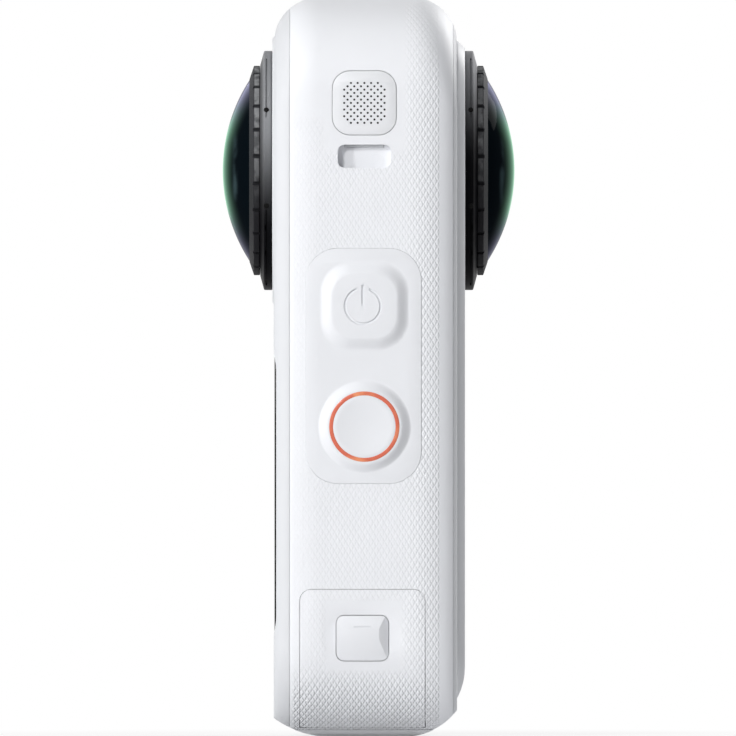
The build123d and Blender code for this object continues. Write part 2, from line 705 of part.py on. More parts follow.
def make_lens_chassis():
    """The stiff plate between the two lenses, with ears that meet the frame's walls, and its screws."""
    half = CHASSIS_THICKNESS / 2
    plate = span_box((-CAVITY_HALF, -half, CHASSIS_BASE_Z), (CAVITY_HALF, half, CAVITY_TOP_Z))
    plate &= cavity(-half, half)
    plate -= lens_disc(CHASSIS_HOLE_R, -half, half, 1)
    inset = SPEAKER_DEPTH + BAFFLE_THICKNESS + WALL
    cut = side_prism(
        2 * OUTLINE_R, SPEAKER_HEIGHT + 2 * LOOSE_GAP, SPEAKER_R, 0, SLOT_Z, CAVITY_HALF - inset, HALF_WIDTH
    )
    plate -= cut
    mic_x = CAVITY_HALF - MIC_DEPTH - LOOSE_GAP
    mic_height = MIC_SIZE_Z + 2 * LOOSE_GAP
    plate -= side_prism(2 * OUTLINE_R, mic_height, SPEAKER_R / 2, 0, GRILLE_Z, mic_x, HALF_WIDTH)
    board_x = BUTTON_BOARD_X - BRACKET_THICKNESS - LOOSE_GAP
    plate -= span_box(
        (board_x, -half, CAVITY_FLOOR_Z), (CAVITY_HALF, half, BUTTON_BOARD_TOP_Z + CHASSIS_GAP)
    )
    screws = []
    for x, z in chassis_screw_places():
        hole = Plane.XZ * Pos(x, z) * Circle(CHASSIS_SCREW_R)
        plate -= extrude(hole, amount=CHASSIS_THICKNESS, both=True)
        place = Plane.XZ.offset(-half) * Pos(x, z)
        shank = extrude(place * Circle(CHASSIS_SCREW_R), amount=CHASSIS_SCREW_LENGTH)
        head = extrude(place * Circle(CHASSIS_SCREW_HEAD_R), amount=-CHASSIS_SCREW_HEAD)
        screws.append(shank + head)
    return plate, screws


def make_boards():
    """The plate that carries the main board, the board and its heat spreader."""
    face_y = BOARD_CHASSIS_Y
    back_y = face_y + BOARD_CHASSIS_THICKNESS
    chassis = span_box((-CAVITY_HALF, face_y, CAVITY_FLOOR_Z), (CAVITY_HALF, back_y, BOARD_CHASSIS_TOP_Z))
    chassis &= cavity(face_y, back_y)
    half = CAVITY_HALF - MAIN_BOARD_MARGIN
    low_y = face_y - MAIN_BOARD_THICKNESS
    board = span_box((-half, low_y, MAIN_BOARD_BASE_Z), (half, face_y, MAIN_BOARD_TOP_Z))
    notch_z = MAIN_BOARD_TOP_Z - MAIN_BOARD_NOTCH_HEIGHT
    board -= span_box(
        (half - MAIN_BOARD_NOTCH_WIDTH, low_y, notch_z), (HALF_WIDTH, face_y, MAIN_BOARD_TOP_Z + OVERRUN)
    )
    spreader = broad_prism(
        SPREADER_WIDTH, SPREADER_HEIGHT, SPREADER_R, SPREADER_Z, low_y - SPREADER_THICKNESS, low_y
    )
    return chassis, board, spreader


def key_hole(z):
    """The hole in the pad round a key at rest, as a bar through the pad."""
    low = HALF_WIDTH - PAD_THICKNESS
    if z == POWER_Z:
        size = POWER_BASE + 2 * KEY_GAP
        return side_prism(size, size, POWER_BASE_R + KEY_GAP, MIDDLE_Y, z, low, HALF_WIDTH + OVERRUN)
    face = Plane.YZ.offset(low) * Pos(MIDDLE_Y, z) * Circle(SHUTTER_BASE_R + KEY_GAP)
    return extrude(face, amount=PAD_THICKNESS + OVERRUN)


def key_stem(z):
    """The stem under a key that reaches its switch."""
    face = Plane.YZ.offset(HALF_WIDTH - STEM_END) * Pos(MIDDLE_Y, z) * Circle(STEM_R)
    return extrude(face, amount=STEM_END - KEY_ROOT)


def make_keys():
    """The soft pad, the two raised keys with their stems, and the shutter's ring."""
    low = HALF_WIDTH - PAD_THICKNESS
    pad = side_prism(PAD_WIDTH, PAD_HEIGHT, PAD_R, PAD_Y, PAD_Z, low, HALF_WIDTH)
    pad -= key_hole(POWER_Z)
    pad -= key_hole(SHUTTER_Z)
    place = Pos(MIDDLE_Y, POWER_Z)
    wide = place * RectangleRounded(POWER_BASE, POWER_BASE, POWER_BASE_R)
    narrow = place * RectangleRounded(POWER_TOP, POWER_TOP, POWER_TOP_R)
    root = Plane.YZ.offset(HALF_WIDTH - KEY_ROOT) * wide
    foot = Plane.YZ.offset(HALF_WIDTH) * wide
    top = Plane.YZ.offset(HALF_WIDTH + POWER_RISE) * narrow
    power = extrude(root, amount=KEY_ROOT) + loft([foot, top]) + key_stem(POWER_Z)
    rim = (HALF_WIDTH + SHUTTER_RISE, SHUTTER_TOP_R)
    dish = (HALF_WIDTH + SHUTTER_RISE - SHUTTER_DISH, 0)
    sphere_r = (SHUTTER_TOP_R**2 + SHUTTER_DISH**2) / (2 * SHUTTER_DISH)
    half = asin(SHUTTER_TOP_R / sphere_r) / 2
    middle = (dish[0] + sphere_r * (1 - cos(half)), sphere_r * sin(half))
    root_x = HALF_WIDTH - KEY_ROOT
    line = Polyline(dish, (root_x, 0), (root_x, SHUTTER_BASE_R), (HALF_WIDTH, SHUTTER_BASE_R), rim)
    line += ThreePointArc(rim, middle, dish)
    shutter = Pos(0, MIDDLE_Y, SHUTTER_Z) * revolve(make_face(line), axis=Axis.X)
    shutter += key_stem(SHUTTER_Z)
    band = Circle(RING_OUTER_R) - Circle(RING_OUTER_R - RING_WIDTH)
    ring = extrude(
        Plane.YZ.offset(HALF_WIDTH + RING_RISE - RING_DEPTH) * Pos(MIDDLE_Y, SHUTTER_Z) * band,
        amount=RING_DEPTH,
    )
    shutter -= ring
    return pad, power, shutter, ring


def make_button_board():
    """The small board behind the keys, its two dome switches and the bracket that holds it."""
    switch_base = SWITCH_TOP_X - SWITCH_BODY
    board_x = BUTTON_BOARD_X
    half_y = BUTTON_BOARD_WIDTH / 2
    high_z = BUTTON_BOARD_TOP_Z
    low_z = high_z - BUTTON_BOARD_HEIGHT
    board = span_box((board_x, MIDDLE_Y - half_y, low_z), (switch_base, MIDDLE_Y + half_y, high_z))
    switches = []
    for z in (POWER_Z, SHUTTER_Z):
        body = Box(SWITCH_BODY / 2, SWITCH_SIZE, SWITCH_SIZE)
        body = Pos(switch_base + SWITCH_BODY / 4, MIDDLE_Y, z) * body
        face = Plane.YZ.offset(switch_base) * Pos(MIDDLE_Y, z) * Circle(SWITCH_DOME_R)
        switches.append(body + extrude(face, amount=SWITCH_BODY))
    rear_y = BOARD_CHASSIS_Y + BOARD_CHASSIS_THICKNESS
    leg = span_box((board_x - BRACKET_THICKNESS, rear_y, low_z), (board_x, MIDDLE_Y + half_y, high_z))
    foot = span_box(
        (board_x - BRACKET_FOOT, rear_y, low_z), (board_x, rear_y + BRACKET_THICKNESS, high_z)
    )
    return board, switches, leg + foot


def make_grille(envelope):
    """The perforated microphone plate, flush with the side, and the capsule behind it."""
    depth = 2 * GRILLE_THICKNESS
    plate = side_prism(
        GRILLE_SIZE, GRILLE_SIZE, GRILLE_R, MIDDLE_Y, GRILLE_Z, HALF_WIDTH - depth, HALF_WIDTH + OVERRUN
    )
    plate &= envelope
    holes = []
    for row in range(GRILLE_ROWS):
        if row in (0, GRILLE_ROWS - 1):
            count = GRILLE_END_ROW
        elif row % 2 == 0:
            count = GRILLE_WIDE_ROW
        else:
            count = GRILLE_WIDE_ROW - 1
        z = (row - (GRILLE_ROWS - 1) / 2) * GRILLE_PITCH_Z
        for column in range(count):
            y = (column - (count - 1) / 2) * GRILLE_PITCH_Y
            holes.append(Pos(y, z) * Circle(GRILLE_HOLE_R))
    face = Plane.YZ.offset(HALF_WIDTH - depth) * Pos(MIDDLE_Y, GRILLE_Z) * Sketch(children=holes)
    plate -= extrude(face, amount=depth + OVERRUN)
    half_y = MIC_SIZE_Y / 2
    half_z = MIC_SIZE_Z / 2
    capsule = span_box(
        (CAVITY_HALF - MIC_DEPTH, MIDDLE_Y - half_y, GRILLE_Z - half_z),
        (CAVITY_HALF, MIDDLE_Y + half_y, GRILLE_Z + half_z),
    )
    capsule &= cavity(REAR_SEAM_Y, FRONT_SEAM_Y)
    return plate, capsule


def make_speaker():
    """The baffle that closes the sound slot's floor, slit along its top, and the speaker behind it."""
    top_x = HALF_WIDTH - SLOT_DEPTH
    low_x = top_x - BAFFLE_THICKNESS
    width = SLOT_WIDTH + 2 * BAFFLE_MARGIN
    height = SLOT_HEIGHT + 2 * BAFFLE_MARGIN
    baffle = side_prism(width, height, SLOT_R, MIDDLE_Y, SLOT_Z, low_x, top_x)
    half_slit = SLOT_WIDTH / 2 - SLOT_R
    slit_z = SLOT_Z + SLOT_HEIGHT / 2
    baffle -= span_box(
        (low_x, MIDDLE_Y - half_slit, slit_z - BAFFLE_SLIT), (top_x, MIDDLE_Y + half_slit, slit_z)
    )
    back_x = low_x - SPEAKER_DEPTH
    speaker = side_prism(SPEAKER_WIDTH, SPEAKER_HEIGHT, SPEAKER_R, MIDDLE_Y, SLOT_Z, back_x, low_x)
    cone = Plane.YZ.offset(low_x) * Pos(MIDDLE_Y, SLOT_Z) * Circle(SPEAKER_CONE_R)
    speaker -= extrude(cone, amount=-SPEAKER_CONE_DEPTH)
    return baffle, speaker


def latch_pivot():
    """The latch's pivot, in X and Z."""
    return HALF_WIDTH - LATCH_PIVOT_DEPTH, (LATCH_BASE_Z + LATCH_TOP_Z) / 2


def latch_window(gap, low_x, high_x):
    """The latch's outline, grown by gap."""
    width = LATCH_WIDTH + 2 * gap
    height = LATCH_TOP_Z - LATCH_BASE_Z + 2 * gap
    middle_z = (LATCH_TOP_Z + LATCH_BASE_Z) / 2
    return side_prism(width, height, LATCH_R + gap, LATCH_Y, middle_z, low_x, high_x)


def latch_pins(radius, reach):
    """The latch's two pivot pins, as one bar that runs past both sides by reach."""
    x, z = latch_pivot()
    start_y = LATCH_Y - LATCH_WIDTH / 2 - reach
    face = Plane.XZ.offset(-start_y) * Pos(x, z) * Circle(radius)
    return extrude(face, amount=-(LATCH_WIDTH + 2 * reach))


def make_side_door(envelope):
    """The curved side door with its hinge knuckle, inner rim, seal, latch, latch spring and hinge pin."""
    door = door_blank(envelope, 0.0, DOOR_SKIN)
    inner_x = HALF_WIDTH - DOOR_SKIN
    boss = port_prism(LOOSE_GAP, inner_x - DOOR_BOSS_DEPTH, HALF_WIDTH) & offset_core(DOOR_SKIN / 2)
    well = port_prism(LOOSE_GAP + DOOR_BOSS_WALL, inner_x - DOOR_BOSS_DEPTH, inner_x)
    latch_wall = latch_window(DOOR_BOSS_WALL, inner_x - DOOR_BOSS_DEPTH, inner_x)
    boss -= well - latch_wall
    boss &= offset_core(DOOR_SKIN / 2)
    door += boss
    dish_z = (LATCH_TOP_Z + LATCH_BASE_Z) / 2
    dish_width = LATCH_WIDTH + 2 * DISH_MARGIN
    dish_height = LATCH_TOP_Z - LATCH_BASE_Z + 2 * DISH_MARGIN
    shallow = Plane.YZ.offset(HALF_WIDTH - DISH_DEPTH) * Pos(LATCH_Y, dish_z) * RectangleRounded(
        dish_width - 2 * DISH_MARGIN / 2, dish_height - 2 * DISH_MARGIN / 2, LATCH_R
    )
    wide = Plane.YZ.offset(HALF_WIDTH) * Pos(LATCH_Y, dish_z) * RectangleRounded(
        dish_width, dish_height, LATCH_R + DISH_MARGIN / 2
    )
    door -= loft([shallow, wide])
    door -= latch_window(LATCH_GAP, inner_x - DOOR_BOSS_DEPTH + LATCH_SPRING_THICKNESS, HALF_WIDTH + OVERRUN)
    door -= latch_pins(LATCH_PIVOT_R + HINGE_FIT, LATCH_PIVOT_LENGTH + HINGE_FIT)
    door -= hinge_bar(PIN_R + HINGE_FIT, DOOR_REAR_Y - OVERRUN, DOOR_FRONT_Y + OVERRUN)
    groove_in = LOOSE_GAP + DOOR_SEAL_WIDTH
    seal_low = inner_x - DOOR_SEAL_DEPTH
    seal = port_prism(LOOSE_GAP / 2, seal_low, inner_x) - port_prism(groove_in, seal_low, inner_x)
    seal &= offset_core(DOOR_SKIN)
    door -= seal
    pin = hinge_bar(PIN_R, DOOR_REAR_Y - PIN_REACH, DOOR_FRONT_Y + PIN_REACH)
    latch = latch_window(0, HALF_WIDTH - LATCH_DEPTH, HALF_WIDTH + OVERRUN)
    crest_z = LATCH_BASE_Z + (LATCH_TOP_Z - LATCH_BASE_Z) * LATCH_CREST_SHARE
    line = Polyline(
        (HALF_WIDTH - LATCH_DEPTH, LATCH_BASE_Z),
        (HALF_WIDTH - DISH_DEPTH, LATCH_BASE_Z),
        (HALF_WIDTH + LATCH_CREST, crest_z),
        (HALF_WIDTH - DISH_DEPTH / 2, LATCH_TOP_Z),
        (HALF_WIDTH - LATCH_DEPTH, LATCH_TOP_Z),
        close=True,
    )
    latch &= extrude(Plane.XZ * make_face(line), amount=BODY_WIDTH, both=True)
    latch += latch_pins(LATCH_PIVOT_R, LATCH_PIVOT_LENGTH)
    spring_low = inner_x - DOOR_BOSS_DEPTH
    half = LATCH_SPRING_WIDTH / 2
    spring_high = spring_low + LATCH_SPRING_THICKNESS
    spring = span_box(
        (spring_low, LATCH_Y - half, dish_z - half), (spring_high, LATCH_Y + half, dish_z + half)
    )
    door -= spring
    return door, seal, pin, latch, spring


def make_ports():
    """The tub behind the side door, with a USB-C receptacle and a memory card reader in its back."""
    tub = port_prism(-TUB_WALL, PORT_BACK_X - TUB_WALL, CAVITY_HALF) - port_prism(0, PORT_BACK_X, CAVITY_HALF)
    tub &= cavity(TUB_REAR_Y, FRONT_SEAM_Y)
    mid_y = (DOOR_FRONT_Y + DOOR_REAR_Y) / 2
    low_x = PORT_BACK_X - USB_LENGTH
    usb = side_prism(USB_WIDTH, USB_HEIGHT, USB_R, mid_y, USB_Z, low_x, PORT_BACK_X)
    tub -= usb
    usb -= side_prism(
        USB_WIDTH - 2 * USB_WALL,
        USB_HEIGHT - 2 * USB_WALL,
        USB_R - USB_WALL,
        mid_y,
        USB_Z,
        low_x + USB_WALL,
        PORT_BACK_X,
    )
    half_tongue = USB_TONGUE_WIDTH / 2
    half_thick = USB_TONGUE_THICKNESS / 2
    usb += span_box(
        (low_x, mid_y - half_tongue, USB_Z - half_thick),
        (PORT_BACK_X - USB_R, mid_y + half_tongue, USB_Z + half_thick),
    )
    low_x = PORT_BACK_X - READER_LENGTH
    half_y = READER_WIDTH / 2
    half_z = READER_HEIGHT / 2
    reader = span_box(
        (low_x, mid_y - half_y, READER_Z - half_z), (PORT_BACK_X, mid_y + half_y, READER_Z + half_z)
    )
    tub -= reader
    reader -= span_box(
        (low_x + READER_WALL, mid_y - half_y + READER_WALL, READER_Z - half_z + READER_WALL),
        (PORT_BACK_X, mid_y + half_y - READER_WALL, READER_Z + half_z - READER_WALL),
    )
    return tub, usb, reader


def slider_z(top):
    """The middle height of one battery latch at rest."""
    inset = LATCH_SLIDER_INSET + LATCH_SLIDER_HEIGHT / 2
    return BATTERY_TOP_Z - inset if top else BATTERY_BASE_Z + inset


def make_battery_latch(top):
    """One thumb slider with ribs, in its pocket of the battery cover."""
    z = slider_z(top)
    low_x = -HALF_WIDTH
    body = side_prism(
        LATCH_SLIDER_WIDTH,
        LATCH_SLIDER_HEIGHT,
        LATCH_SLIDER_R,
        MIDDLE_Y,
        z,
        low_x,
        low_x + LATCH_SLIDER_DEPTH,
    )
    for index in range(LATCH_RIBS):
        offset = (index - (LATCH_RIBS - 1) / 2) * LATCH_RIB_PITCH
        groove = Box(LATCH_RIB_WIDTH, LATCH_SLIDER_WIDTH - 2 * LATCH_SLIDER_R, LATCH_RIB_WIDTH)
        body -= Pos(low_x, MIDDLE_Y, z + offset) * groove
    return body


def make_battery(envelope):
    """The battery module: outer cover in the frame's side, cell block, seal, and its latches."""
    outer = -HALF_WIDTH - OVERRUN
    shell = envelope - offset_core(BATTERY_SKIN)
    cover = battery_prism(0, BATTERY_COVER_R, outer, -HALF_WIDTH + WALL) & shell
    for top in (True, False):
        side = 1 if top else -1
        travel = LATCH_SLIDER_TRAVEL
        height = LATCH_SLIDER_HEIGHT + travel + 2 * SEAM_GAP
        pocket = side_prism(
            LATCH_SLIDER_WIDTH + 2 * SEAM_GAP,
            height,
            LATCH_SLIDER_R + SEAM_GAP,
            MIDDLE_Y,
            slider_z(top) - side * travel / 2,
            outer,
            -HALF_WIDTH + LATCH_SLIDER_DEPTH + FINE_GAP,
        )
        cover -= pocket
    latches = [make_battery_latch(True), make_battery_latch(False)]
    face_x = -HALF_WIDTH + BATTERY_SKIN
    margin = BATTERY_MARGIN + LOOSE_GAP
    cell = battery_prism(margin, CELL_R, face_x, face_x + CELL_DEPTH)
    height = BATTERY_TOP_Z - BATTERY_BASE_Z
    for share in CELL_GROOVE_SHARES:
        z = BATTERY_BASE_Z + height * share
        for y in (-BATTERY_HALF + margin, BATTERY_HALF - margin):
            groove = Box(CELL_DEPTH, CELL_GROOVE, CELL_GROOVE)
            cell -= Pos(face_x + CELL_DEPTH, MIDDLE_Y + y, z) * groove
    seal_x = face_x + BATTERY_SEAL_DEPTH
    ring = battery_prism(margin - BATTERY_SEAL_WIDTH / 4, CELL_R, face_x, seal_x)
    inner = battery_prism(margin + BATTERY_SEAL_WIDTH / 2, CELL_R, face_x, seal_x)
    core = offset_core(BATTERY_SKIN)
    seal = (ring - inner) & core
    cell = cell & core - seal
    return cover, cell, seal, latches


def make_tray():
    """The open-sided tray that guides the battery, and the spring contacts at its back."""
    low_x = -CAVITY_HALF
    back_x = -HALF_WIDTH + BATTERY_SKIN + CELL_DEPTH + CONTACT_BLOCK_DEPTH
    margin = BATTERY_MARGIN + LOOSE_GAP - TRAY_GAP
    tray = battery_prism(margin - TRAY_WALL, CELL_R + TRAY_WALL, low_x, back_x + TRAY_WALL)
    tray -= battery_prism(margin, CELL_R, low_x, back_x)
    tray &= cavity(TUB_REAR_Y, FRONT_SEAM_Y)
    half_y = (CONTACT_COUNT * CONTACT_PITCH) / 2
    half_z = CONTACT_BLOCK_HEIGHT / 2
    low = back_x - CONTACT_BLOCK_DEPTH + 2 * LOOSE_GAP
    block = span_box(
        (low, MIDDLE_Y - half_y, CONTACT_Z - half_z), (back_x, MIDDLE_Y + half_y, CONTACT_Z + half_z)
    )
    for index in range(CONTACT_COUNT):
        y = MIDDLE_Y + (index - (CONTACT_COUNT - 1) / 2) * CONTACT_PITCH
        pad = Box(LOOSE_GAP, CONTACT_SIZE, CONTACT_BLOCK_HEIGHT / 2)
        block += Pos(low - LOOSE_GAP / 2, y, CONTACT_Z) * pad
    return tray, block


def make_base(envelope):
    """The base plate, the threaded tripod bush in its middle, and four countersunk screws."""
    low = -OVERRUN
    plate = envelope & span_box(
        (-BODY_WIDTH, -BODY_WIDTH, low), (BODY_WIDTH, BODY_WIDTH, BASE_PLATE_THICKNESS)
    )
    bush = Cylinder(BUSH_R, BUSH_TOP_Z, align=(Align.CENTER, Align.CENTER, Align.MIN))
    flange = Pos(0, 0, CAVITY_FLOOR_Z) * Cylinder(
        BUSH_FLANGE_R, BUSH_FLANGE, align=(Align.CENTER, Align.CENTER, Align.MIN)
    )
    bore = Cylinder(BUSH_BORE_R, 2 * BUSH_HOLE_DEPTH)
    plate -= Cylinder(BUSH_R, 2 * BUSH_TOP_Z)
    bush = bush + flange - bore
    screws = []
    for x, y in base_screw_places():
        shank = Cylinder(BASE_SCREW_R, BASE_SCREW_LENGTH, align=(Align.CENTER, Align.CENTER, Align.MIN))
        head = Cone(
            BASE_SCREW_HEAD_R, BASE_SCREW_R, BASE_SCREW_HEAD, align=(Align.CENTER, Align.CENTER, Align.MIN)
        )
        screw = Pos(x, y, 0) * (shank + head)
        plate -= screw
        screws.append(screw - Pos(x, y, 0) * Box(2 * BASE_SCREW_HEAD_R, BASE_SCREW_SLOT, BASE_SCREW_SLOT))
    return plate, bush, screws


def build():
    """Every piece of the camera by its name."""
    envelope = make_envelope()
    parts = {"mid_frame": make_mid_frame(envelope)}
    parts["display_cover"] = make_display_cover(envelope)
    parts["display_glass"], parts["display_module"] = make_display()
    parts["lens_cover"] = make_lens_cover(envelope)
    parts.update(make_lens(1))
    parts.update(make_lens(-1))
    parts["lens_chassis"], screws = make_lens_chassis()
    parts["chassis_screws"] = Compound(children=screws)
    parts["board_chassis"], parts["main_board"], parts["heat_spreader"] = make_boards()
    parts["button_pad"], parts["power_key"], parts["shutter_key"], parts["shutter_ring"] = make_keys()
    parts["button_board"], switches, parts["button_bracket"] = make_button_board()
    parts["tact_switches"] = Compound(children=switches)
    parts["mic_grille"], parts["mic_capsule"] = make_grille(envelope)
    parts["speaker_baffle"], parts["speaker"] = make_speaker()
    door = make_side_door(envelope)
    for name, piece in zip(("side_door", "door_seal", "door_hinge_pin", "door_latch", "latch_spring"), door):
        parts[name] = piece
    parts["port_tub"], parts["usb_receptacle"], parts["card_reader"] = make_ports()
    cover, cell, seal, latches = make_battery(envelope)
    parts["battery_cover"] = cover
    parts["battery_cell"] = cell
    parts["battery_seal"] = seal
    parts["battery_latch_upper"], parts["battery_latch_lower"] = latches
    parts["battery_tray"], parts["battery_contacts"] = make_tray()
    parts["base_plate"], parts["tripod_bush"], screws = make_base(envelope)
    parts["base_screws"] = Compound(children=screws)
    return parts


os.makedirs("parts", exist_ok=True)
for node, shape in build().items():
    export_step(shape, f"parts/{node}.step")
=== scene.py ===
"""The looks of a slim 360 degree camera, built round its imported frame.

Shapes are modelled in millimetres in the frame's own axes and brought to metres when a piece is finished:
+Z is up, -Y is the display's side, +Y the front lens's side, and +X the side with the keys and the door."""
import logging
import math
from dataclasses import dataclass, field
from enum import Enum
from typing import Callable, Iterable, Sequence

import bmesh
import bpy
from mathutils import Matrix, Vector


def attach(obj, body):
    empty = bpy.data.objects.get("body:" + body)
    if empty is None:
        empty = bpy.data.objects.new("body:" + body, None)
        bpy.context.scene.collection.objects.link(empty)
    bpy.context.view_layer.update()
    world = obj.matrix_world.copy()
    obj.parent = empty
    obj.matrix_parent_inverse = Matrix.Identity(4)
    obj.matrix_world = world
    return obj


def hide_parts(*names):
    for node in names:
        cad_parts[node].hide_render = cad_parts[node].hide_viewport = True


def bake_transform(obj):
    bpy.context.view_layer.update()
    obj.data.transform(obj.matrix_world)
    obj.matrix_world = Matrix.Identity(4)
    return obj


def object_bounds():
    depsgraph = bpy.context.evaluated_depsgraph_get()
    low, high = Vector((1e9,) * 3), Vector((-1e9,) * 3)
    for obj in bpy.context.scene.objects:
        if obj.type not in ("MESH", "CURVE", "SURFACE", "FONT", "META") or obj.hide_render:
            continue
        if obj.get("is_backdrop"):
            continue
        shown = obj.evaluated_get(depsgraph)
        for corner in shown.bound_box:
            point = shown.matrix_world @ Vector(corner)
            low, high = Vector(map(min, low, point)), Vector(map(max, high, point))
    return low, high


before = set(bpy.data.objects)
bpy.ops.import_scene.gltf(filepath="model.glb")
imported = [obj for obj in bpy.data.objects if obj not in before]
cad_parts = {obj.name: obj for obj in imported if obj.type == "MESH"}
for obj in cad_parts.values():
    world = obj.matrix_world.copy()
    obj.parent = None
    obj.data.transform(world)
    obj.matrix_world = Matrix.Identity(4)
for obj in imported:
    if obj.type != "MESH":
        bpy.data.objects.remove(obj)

LOG = logging.getLogger("camera")
MM = 0.001
PHOTO_PIXELS = 736
MM_PER_PIXEL = 0.12978
PHOTO_MIDDLE_Y = 368.6
PHOTO_BASE_Z = 737.0

# Places shared by several pieces, in millimetres.
LENS_Z = 73.6
SIDE_X = 23.0
MIDDLE_Y = -0.55
CORNER_X = 10.9
CORNER_Z = 12.1
GRILLE_Z = 82.2
SLOT_Z = 75.3
POWER_Z = 55.9
SHUTTER_Z = 40.3
PAD_MIDDLE = (-0.65, 48.15)
DOOR_Y = -0.8
DOOR_HINGE = (16.3, DOOR_Y, 2.747)
LATCH_MIDDLE = (DOOR_Y, 12.925)
WELL_MIDDLE = (DOOR_Y, 11.35)
BATTERY_Z = 33.2
DISPLAY_MIDDLE = (0, 31.6)
LENS_HOLE_R = 13.26

Point = tuple[float, float]
Point3 = tuple[float, float, float]


class Axis(Enum):
    """The axis that a prism or a turned piece follows."""

    X = 0
    Y = 1


class Body(Enum):
    """The moving bodies of the camera."""

    HOUSING = "housing"
    POWER = "power_key"
    SHUTTER = "shutter_key"
    DOOR = "side_door"
    DOOR_LATCH = "door_latch"
    BATTERY = "battery"
    BATTERY_UPPER = "battery_latch_upper"
    BATTERY_LOWER = "battery_latch_lower"
    FRONT_GUARD = "front_guard"
    REAR_GUARD = "rear_guard"


class Wire:
    """A shader value that takes part in Python sums, each of which adds a Math node."""

    def __init__(self, tree: "Tree", socket: bpy.types.NodeSocket) -> None:
        """Wraps a node's output socket of that tree."""
        self.tree = tree
        self.socket = socket

    def _math(self, operation: str, *others: "Wire | float") -> "Wire":
        """A Math node on this value and the others."""
        return self.tree.add("ShaderNodeMath", {"operation": operation}, self, *others)

    def __add__(self, other: "Wire | float") -> "Wire":
        """Adds."""
        return self._math("ADD", other)

    __radd__ = __add__

    def __sub__(self, other: "Wire | float") -> "Wire":
        """Subtracts."""
        return self._math("SUBTRACT", other)

    def __rsub__(self, other: float) -> "Wire":
        """Subtracts from a number."""
        return self.tree.add("ShaderNodeMath", {"operation": "SUBTRACT"}, other, self)

    def __mul__(self, other: "Wire | float") -> "Wire":
        """Multiplies."""
        return self._math("MULTIPLY", other)

    __rmul__ = __mul__

    def __truediv__(self, other: "Wire | float") -> "Wire":
        """Divides."""
        return self._math("DIVIDE", other)

    def abs(self) -> "Wire":
        """The value without its sign."""
        return self._math("ABSOLUTE")

    def power(self, exponent: float) -> "Wire":
        """Raised to a power."""
        return self._math("POWER", exponent)

    def least(self, other: "Wire | float") -> "Wire":
        """The smaller of two."""
        return self._math("MINIMUM", other)

    def most(self, other: "Wire | float") -> "Wire":
        """The larger of two."""
        return self._math("MAXIMUM", other)

    def angle(self, other: "Wire") -> "Wire":
        """The angle of the point (other, self) in radians."""
        return self._math("ARCTAN2", other)

    def wave(self, length: float) -> "Wire":
        """A triangle wave from 0 to 1 of that length."""
        return self._math("PINGPONG", length / 2) * (2 / length)

    def step(self, low: float, high: float) -> "Wire":
        """0 at low and 1 at high, smooth between them; low may be the larger."""
        return self.tree.add(
            "ShaderNodeMapRange", {"interpolation_type": "SMOOTHSTEP"}, self, low, high, 0.0, 1.0
        )


